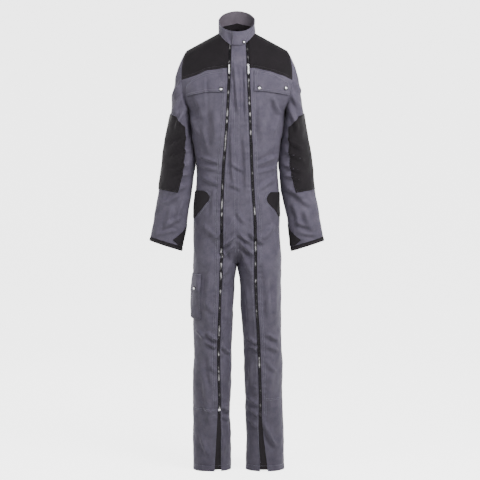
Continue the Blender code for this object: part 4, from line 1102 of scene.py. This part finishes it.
def along_path(p, n, pitch):
    """Places at an even pitch along a path: positions, normals and directions, by its run length."""
    run = np.concatenate([[0.0], np.cumsum(np.linalg.norm(np.diff(p, axis=0), axis=1))])
    at = np.arange(pitch / 2, run[-1], pitch)
    place, normal, ahead, behind = (
        np.stack([np.interp(where, run, values[:, i]) for i in range(3)], axis=1)
        for where, values in ((at, p), (at, n), (at + pitch / 3, p), (at - pitch / 3, p))
    )
    way = unit(ahead - behind)
    return place, unit(normal - way * (normal * way).sum(1, keepdims=True)), way


def copies(shape, faces, place, normal, way):
    """A small shape set at every place: its x runs across, its y along the path, its z out."""
    across = np.cross(way, normal)
    points = (
        place[:, None]
        + shape[None, :, 0, None] * across[:, None]
        + shape[None, :, 1, None] * way[:, None]
        + shape[None, :, 2, None] * normal[:, None]
    )
    index = np.asarray(faces)[None] + (np.arange(len(place)) * len(shape))[:, None, None]
    return points.reshape(-1, 3), index.reshape(-1, 4)


def joined(name, parts, finish, nodes=(), body_name="suit", smooth=True):
    """One object from lists of points and four-cornered faces."""
    points, faces, start = [], [], 0
    for p, f in parts:
        points.append(p)
        faces.append(f + start)
        start += len(p)
    points, faces = np.concatenate(points), np.concatenate(faces)
    mesh = bpy.data.meshes.new(name)
    mesh.from_pydata(points.tolist(), [], faces.tolist())
    layer = mesh.uv_layers.new(name="cloth")
    layer.data.foreach_set("uv", points[faces.reshape(-1)][:, [0, 2]].reshape(-1).astype(np.float32))
    mesh.materials.append(finish)
    if smooth:
        mesh.shade_smooth()
    made = bpy.data.objects.new(name, mesh)
    bpy.context.scene.collection.objects.link(made)
    if nodes:
        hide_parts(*nodes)
    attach(made, body_name)
    return made


STITCH = np.array((
    (0.0, -0.5, -0.4), (1.0, -0.30, 0.0), (0.0, -0.30, 0.9), (-1.0, -0.30, 0.0),
    (0.0, 0.5, -0.4), (1.0, 0.30, 0.0), (0.0, 0.30, 0.9), (-1.0, 0.30, 0.0),
))
STITCH_FACES = np.array(((0, 1, 2, 3), (1, 5, 6, 2), (2, 6, 7, 3), (3, 7, 4, 0), (0, 4, 5, 1), (7, 6, 5, 4)))
TOOTH = np.array((
    (-1, -1, -1), (1, -1, -1), (1, 1, -1), (-1, 1, -1),
    (-0.8, -0.7, 1), (0.8, -0.7, 1), (0.8, 0.7, 1), (-0.8, 0.7, 1),
))
TOOTH_FACES = np.array(((0, 3, 2, 1), (4, 5, 6, 7), (0, 1, 5, 4), (1, 2, 6, 5), (2, 3, 7, 6), (3, 0, 4, 7)))


def stitches(name, paths, finish):
    """Lockstitch: rounded lozenges of thread 3 mm long, half sunk in the cloth, along each path."""
    shape = STITCH * np.array((THREAD, STITCH_LENGTH, THREAD))
    parts = [copies(shape, STITCH_FACES, *along_path(p, n, STITCH_LENGTH + STITCH_GAP)) for p, n in paths]
    return joined(name, parts, finish)


def zip_chain(name, side):
    """The tape, sunk between the panels' edges, and two rows of metal teeth that mesh on its line."""
    x = float(read(ZIP_LINE, name, neck(0.0)))
    turn = np.linspace(0.0, float(roll_angle(x, neck(x), FRONT_ROLL)), 40)
    low = heights_between(ZIP_END[name] + 0.0005, ROLL_START)
    z = np.concatenate([low, roll_height(x, turn, FRONT_ROLL)[1:]])
    line = read(ZIP_LINE, name, z)
    offsets = np.array((-0.0072, -0.0055, -0.003, 0.0, 0.003, 0.0055, 0.0072))
    u = across_at(line[:, None] + offsets, np.broadcast_to(z[:, None], (len(z), 7)))
    sink = np.array((-0.0021, -0.0019, -0.0012, -0.0009, -0.0012, -0.0019, -0.0021))
    grid, _ = lay_body(side, body(side, u, z[:, None]), np.broadcast_to(sink, u.shape))
    cloth(f"zip_tape_{name}", [(side, grid)], TAPE, [f"zip_{name}"],
          thick=0.0006)
    p, n = on_body(side, line, z, -0.0002)
    place, normal, way = along_path(p, n, 0.0013)
    tooth = TOOTH * np.array((0.0018, 0.00056, 0.0008))
    across = np.cross(way, normal)
    shift = np.where(np.arange(len(place)) % 2 == 0, 0.0011, -0.0011)[:, None]
    teeth = copies(tooth, TOOTH_FACES, place + across * shift, normal, way)
    # the teeth are dark blackened brass with painted glints in patches
    joined(f"zip_teeth_{name}", [teeth], GUNMETAL, smooth=False)


def loft(outlines, levels):
    """A closed solid through outlines at levels: rings of points joined by quads, with fans of quads
    gathered to a middle point at both ends."""
    count = outlines[0].shape[0]
    rings = np.stack([np.concatenate([o, np.full((count, 1), h)], axis=1) for o, h in zip(outlines, levels)])
    ends = [np.repeat(r.mean(axis=0)[None], count, axis=0) for r in (rings[0], rings[-1])]
    rings = np.concatenate([ends[0][None], rings, ends[1][None]])
    return rings.reshape(-1, 3), ring_faces(rings.shape[0], count)


def oval(half_x, half_y, square=2.0, count=28):
    """A superellipse outline: powers of cosine and sine, with their signs."""
    t = np.arange(count) / count * 2 * math.pi
    c, s = np.cos(t), np.sin(t)
    return np.stack([
        half_x * np.sign(c) * np.abs(c) ** (2 / square), half_y * np.sign(s) * np.abs(s) ** (2 / square)
    ], axis=1)


def hard(name, parts, finish, nodes=(), body_name="suit"):
    """A closed metal piece: poles joined, faces outwards, and edges sharp above 50 degrees."""
    made = joined(name, parts, finish, nodes, body_name)
    welded(made.data, 0.00001, outwards=True)
    made.data.set_sharp_from_angle(angle=math.radians(50))
    return made


def set_at(points, origin, across, along, out):
    """Local points (across, along, out) set in a frame."""
    return origin + points[:, :1] * across + points[:, 1:2] * along + points[:, 2:] * out


def stud(name, origin, n, up, node_name, radius=0.0044):
    """A press stud's cap: a shallow dome with a rolled rim, in a dark ring."""
    up = unit(up - n * np.dot(up, n))
    across = np.cross(up, n)
    profile = (
        (radius * 0.92, -0.0012), (radius, -0.0006), (radius, 0.0004), (radius * 0.94, 0.0010),
        (radius * 0.84, 0.0011), (radius * 0.76, 0.0007), (radius * 0.55, 0.0012), (radius * 0.25, 0.0015),
    )
    p, f = loft([oval(r, r) for r, _ in profile], [h for _, h in profile])
    hard(f"{name}_cap", [(set_at(p, origin, across, up, n), f)], NICKEL, [node_name])
    ringed = (
        (radius * 1.0, -0.0014), (radius * 1.72, -0.0012), (radius * 1.80, -0.0004),
        (radius * 1.60, 0.0002), (radius * 1.02, 0.0),
    )
    p, f = loft([oval(r, r) for r, _ in ringed], [h for _, h in ringed])
    hard(f"{name}_ring", [(set_at(p, origin, across, up, n), f)], DARK_RING)


def slider(name, side):
    """A zip slider: a waisted body with a raised bridge, and the pull that hangs from it."""
    low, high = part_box(f"slider_{name}")
    origin = np.array((low + high) / 2)
    x = float(read(ZIP_LINE, name, SLIDER_HEIGHT))
    _, n = on_body(side, [x], [SLIDER_HEIGHT])
    n = n[0]
    joint = next(j for j in frame["joints"] if name in j["name"])
    across = unit(np.array(joint["axis"], float))
    n = unit(n - across * np.dot(n, across))
    up = np.cross(n, across)
    if up[2] < 0:
        up, across = -up, -across
    stack = (
        (0.0044, 0.0074, -0.0028), (0.0046, 0.0076, -0.0020), (0.0045, 0.0075, -0.0004),
        (0.0036, 0.0068, 0.0002), (0.0024, 0.0052, 0.0010), (0.0019, 0.0044, 0.0026),
        (0.0012, 0.0036, 0.0030),
    )
    p, f = loft([oval(a, b, 3.2) for a, b, _ in stack], [h for _, _, h in stack])
    # the slider's body takes the teeth's finish, dark with painted glints
    hard(f"zip_slider_{name}", [(set_at(p, origin, across, up, n), f)], GUNMETAL,
         [f"slider_{name}"])
    hinge = np.array(joint["pos_m"], float)
    outline = fine_rows((
        (0.0009, 0.0006), (0.0008, 0.0017), (0.0, 0.0022), (-0.006, 0.0019), (-0.016, 0.0022),
        (-0.026, 0.0025),
        (-0.0315, 0.0024), (-0.0335, 0.0015), (-0.0341, 0.0004),
    ), 40)
    half = 0.0007
    grid = np.stack([
        np.stack([outline[:, 1] * w, outline[:, 0], np.full(len(outline), h)], axis=1)
        for w, h in ((-1, -half), (-1, half), (-0.8, half * 1.15), (0.8, half * 1.15), (1, half), (1, -half),
                     (0.8, -half), (-0.8, -half))
    ], axis=1)
    caps = np.array([(i, i + 1, 6 - i, 7 - i) for i in (0, 1, 2)])
    points = grid.reshape(-1, 3)
    faces = np.concatenate([ring_faces(len(grid), 8), caps, len(points) - 8 + caps[:, ::-1]])
    knob, knob_faces = loft(
        [oval(r, r * 0.42) for r in (0.0012, 0.0024, 0.0027, 0.0024, 0.0012)],
        (-0.0030, -0.0022, 0.0, 0.0022, 0.0030),
    )
    knob = knob[:, [0, 2, 1]] + np.array((0.0, -0.0305, 0.0))
    body_name = f"tab_{name}"
    hard(f"zip_pull_{name}", [(set_at(points, hinge, across, up, n), faces)], NICKEL,
         [f"pull_{name}"], body_name)
    hard(f"zip_pull_grip_{name}", [(set_at(knob, hinge, across, up, n), knob_faces)], DARK_RING, (),
         body_name)


# Each seam down a panel: its u and its lowest and highest point.
PLAIN_SEAMS = ((0.510, 0.02, 1.27), (0.526, 0.02, 1.27), (0.994, 0.78, 1.375), (0.008, 0.78, 1.29))


def seams():
    """Topstitching: beside the zips, round yokes, flaps and patches, down the seams and at the hems."""
    grey, black = [], []
    for name, side in SIDES.items():
        z = heights_between(0.20, 1.428, PATH_STEP)
        line = read(ZIP_LINE, name, z) + 0.0010 * np.sin(z * 9.0 + side)
        grey += [on_body(side, line + off, z, ON_CLOTH) for off in (0.0152, 0.0205)]
        z = heights_between(0.03, 1.47, PATH_STEP)
        grey.append(on_body(side, read(ZIP_LINE, name, z) - 0.0105, z, ON_CLOTH))
        for u, low, high in PLAIN_SEAMS:
            grey.append(on_surface(side, u, heights_between(low, high, PATH_STEP), ON_CLOTH))
        x = np.linspace(0.047, 0.190, 60)
        edge = read(YOKE_EDGE, name, x)
        black += [on_body(side, x, edge + up, ON_CLOTH) for up in YOKE_TWIN]
        u = 1 - turn_at(np.linspace(0.004, 0.190, 80), BACK_YOKE_EDGE)
        black += [on_surface(side, u, BACK_YOKE_EDGE + up, ON_CLOTH) for up in YOKE_TWIN]
        grey.append(on_surface(side, np.linspace(0.004, 0.996, 160), HEM_LINE, ON_CLOTH))
        z = SHIN_SEAM[name]
        u = np.linspace(float(across_at(read(ZIP_LINE, name, z) + 0.02, z)), 0.497, 50)
        grey += [on_surface(side, u, z + up, ON_CLOTH) for up in (0.0035, 0.0085)]
        rows = fine_rows(CHEST_FLAP[name], 70)[2:-2]
        z = np.linspace(rows[0, 2] + 0.004, rows[0, 1] - 0.004, 30)
        for inset in TWIN:
            grey.append(on_body(side, rows[:, 0], rows[:, 2] + inset, 0.0056))
            grey.append(on_body(side, rows[:, 0], rows[:, 1] - inset, ON_FLAP))
            grey.append(on_body(side, rows[0, 0] + inset, z, 0.0040))
        rows = fine_rows(HIP_FACING[name], 60)[2:-2]
        grey += [on_body(side, rows[:, 1] - off, rows[:, 0], 0.0004) for off in (0.0025, 0.0075)]
        rows = fine_rows(ELBOW, 70)[1:-1]
        black.append(on_sleeve(side, rows[:, 1] - 0.008, rows[:, 0], ON_PATCH))
        v = np.linspace(ELBOW_BACK + 0.01, ELBOW[-1][1] - 0.01, 70)
        black.append(on_sleeve(side, v, ELBOW[-1][0] - 0.003, ON_PATCH))
        v = np.linspace(0.0, 1.0, 120)
        grey.append(on_sleeve(side, v, 0.0045, 0.0004))
        black.append(on_sleeve(side, v, drop_at(0.8065), 0.0017))
        grey.append(on_sleeve(side, 0.515, np.linspace(0.01, drop_at(CUFF_SEAM), 160), 0.0004))
    side = -1
    z = np.linspace(CARGO["low"] + 0.003, CARGO["high"] - 0.02, 50)
    for u in (across_at(CARGO["front"] + 0.003, 0.6), CARGO["back"] - 0.006):
        grey.append(on_surface(side, u, z, 0.0030))
    u = np.linspace(float(across_at(CARGO["front"] + 0.002, 0.6)), CARGO["back"] - 0.006, 60)
    grey.append(on_surface(side, u, CARGO["low"] + 0.003, 0.0035))
    grey += [on_surface(side, u, CARGO["flap_high"] - down, 0.0036) for down in TWIN]
    turn = np.linspace(0.9, 2 * math.pi - 0.3, 200)[None, :]
    for up in (0.90, 0.05):
        levels = np.array((up - 0.02, up, up + 0.02))[:, None]
        strip = collar_points(np.broadcast_to(turn, (3, 200)), levels)
        n = normals(1, strip)
        grey.append((strip[1] + n[1] * (0.0008 * up**3), n[1]))
    rows = fine_rows(COLLAR_TAB, 40)[2:-2]
    for column, inset in ((1, 0.035), (2, -0.035)):
        turn = rows[:, column : column + 1] + inset + np.array((-0.02, 0.0, 0.02))
        strip = collar_points(turn, np.broadcast_to(rows[:, :1], turn.shape))
        n = normals(1, strip)
        grey.append((strip[:, 1] + n[:, 1] * 0.0030, n[:, 1]))
    stitches("grey_topstitching", grey, GREY_THREAD)
    stitches("black_topstitching", black, BLACK_THREAD)


STUDS = (
    ("chest_stud_1", -1, 0.0550, 1.3520, "chest_snap_1"), ("chest_stud_2", 1, 0.0780, 1.3560, "chest_snap_2"),
    ("chest_stud_3", 1, 0.1700, 1.3580, "chest_snap_3"), ("thigh_stud", -1, 0.141, 0.652, "cargo_snap"),
)


def hardware():
    """Sliders with their pulls, the zips' end stops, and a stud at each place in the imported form."""
    upright = np.array((0.0, 0.0, 1.0))
    for name, side in SIDES.items():
        slider(name, side)
        # the zip stops take the teeth's finish, dark with painted glints
        for slot in bpy.data.objects[f"zip_stop_{name}"].material_slots:
            slot.material = GUNMETAL
    for name, side, x, z, cad in STUDS:
        low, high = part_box(cad)
        _, n = on_body(side, [x], [z])
        stud(name, np.array((low + high) / 2) + n[0] * 0.0010, n[0], upright, cad)
    low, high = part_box("collar_snap")
    strip = collar_points(np.array([[0.30, 0.36, 0.42]] * 3), np.array([[0.10], [0.16], [0.22]]))
    n = normals(1, strip)[1, 1]
    stud("collar_stud", np.array((low + high) / 2) + n * 0.0006, n, upright, "collar_snap", 0.0034)


def stage():
    """A plain pale floor, level with the hems, that curves up all round far from the suit: a profile
    of radius and height, turned about the upright axis."""
    flat, curve, wall, gap, count = 7.5, 2.5, 9.0, 0.0008, 96
    bend = np.linspace(0.0, math.pi / 2, 24)
    radius = np.concatenate([[0.0, flat], flat + curve * np.sin(bend)[1:], [flat + curve]])
    height = np.concatenate([[0.0, 0.0], curve - curve * np.cos(bend)[1:], [wall]]) - ORIGIN_HEIGHT - gap
    turn = np.arange(count) / count * 2 * math.pi
    grid = np.stack(np.broadcast_arrays(
        radius[:, None] * np.cos(turn), radius[:, None] * np.sin(turn), height[:, None]
    ), axis=-1)
    faces = ring_faces(len(radius), count)[:, ::-1]
    mesh = bpy.data.meshes.new("pale_floor")
    mesh.from_pydata(grid.reshape(-1, 3).tolist(), [], faces.tolist())
    mesh.shade_smooth()
    floor = bpy.data.objects.new("pale_floor", mesh)
    bpy.context.scene.collection.objects.link(floor)
    floor.visible_shadow = False
    floor.visible_diffuse = False
    paper = bpy.data.materials.new("matt_paper")
    paper.use_nodes = True
    shader = paper.node_tree.nodes["Principled BSDF"]
    shader.inputs["Base Color"].default_value = linear("#f6f6f6")
    shader.inputs["Roughness"].default_value = 0.9
    shader.inputs["Specular IOR Level"].default_value = 0.1
    shader.inputs["Emission Color"].default_value = linear("#ffffff")
    shader.inputs["Emission Strength"].default_value = 3.6
    mesh.materials.append(paper)


def lamp(name, place, aim, size, watts):
    """A square soft light at a place, turned to the middle line at height aim."""
    light = bpy.data.lights.new(name, "AREA")
    light.shape = "RECTANGLE"
    light.size = light.size_y = size
    light.energy = watts
    made = bpy.data.objects.new(name, light)
    bpy.context.scene.collection.objects.link(made)
    made.location = place
    made.rotation_euler = (Vector((0.0, 0.0, aim)) - Vector(place)).to_track_quat("-Z", "Y").to_euler()


centre()
for panel_name, panel_side in SIDES.items():
    front(panel_name, panel_side)
    shin(panel_name, panel_side)
    back(panel_name, panel_side)
    sleeve_tube(panel_name, panel_side)
    patches(panel_name, panel_side)
    chest_flap(panel_name, panel_side)
    hem_gusset(panel_name, panel_side)
    zip_chain(panel_name, panel_side)
yokes()
collar()
thigh_pocket()
seams()
hardware()
stage()

lamp("key_softbox", (1.25, -1.6, 0.62), -0.15, 1.0, 60.0)
lamp("fill_softbox", (-1.8, -1.7, 0.50), -0.25, 1.2, 21.0)
lamp("rim_softbox", (-1.6, 2.4, 1.4), -0.3, 1.5, 40.0)
sun = bpy.data.lights.new("overhead", "SUN")
sun.energy = 0.6
sun.angle = math.radians(35)
overhead = bpy.data.objects.new("overhead", sun)
bpy.context.scene.collection.objects.link(overhead)
overhead.rotation_euler = (math.radians(14), math.radians(9), 0.0)

# The surroundings give the suit a low even light, and are white where they are seen.
world = bpy.data.worlds.new("studio")
bpy.context.scene.world = world
world.use_nodes = True
sky = world.node_tree
seen = node(sky, "ShaderNodeLightPath", {}, {})
bright = node(
    sky, "ShaderNodeMapRange", {"To Min": 0.08, "To Max": 4.0}, {"Value": seen.outputs["Is Camera Ray"]}
)
sky.nodes["Background"].inputs["Color"].default_value = linear("#ffffff")
sky.links.new(bright.outputs["Result"], sky.nodes["Background"].inputs["Strength"])

lens = bpy.data.cameras.new("camera")
lens.sensor_width = 36.0
lens.lens = 130.1
camera = bpy.data.objects.new("camera", lens)
bpy.context.scene.collection.objects.link(camera)
camera.location = (0.011, -6.2, -0.45)
aim = Vector((0.011, 0.0, -0.700))
camera.rotation_euler = (aim - camera.location).to_track_quat("-Z", "Y").to_euler()
bpy.context.scene.camera = camera
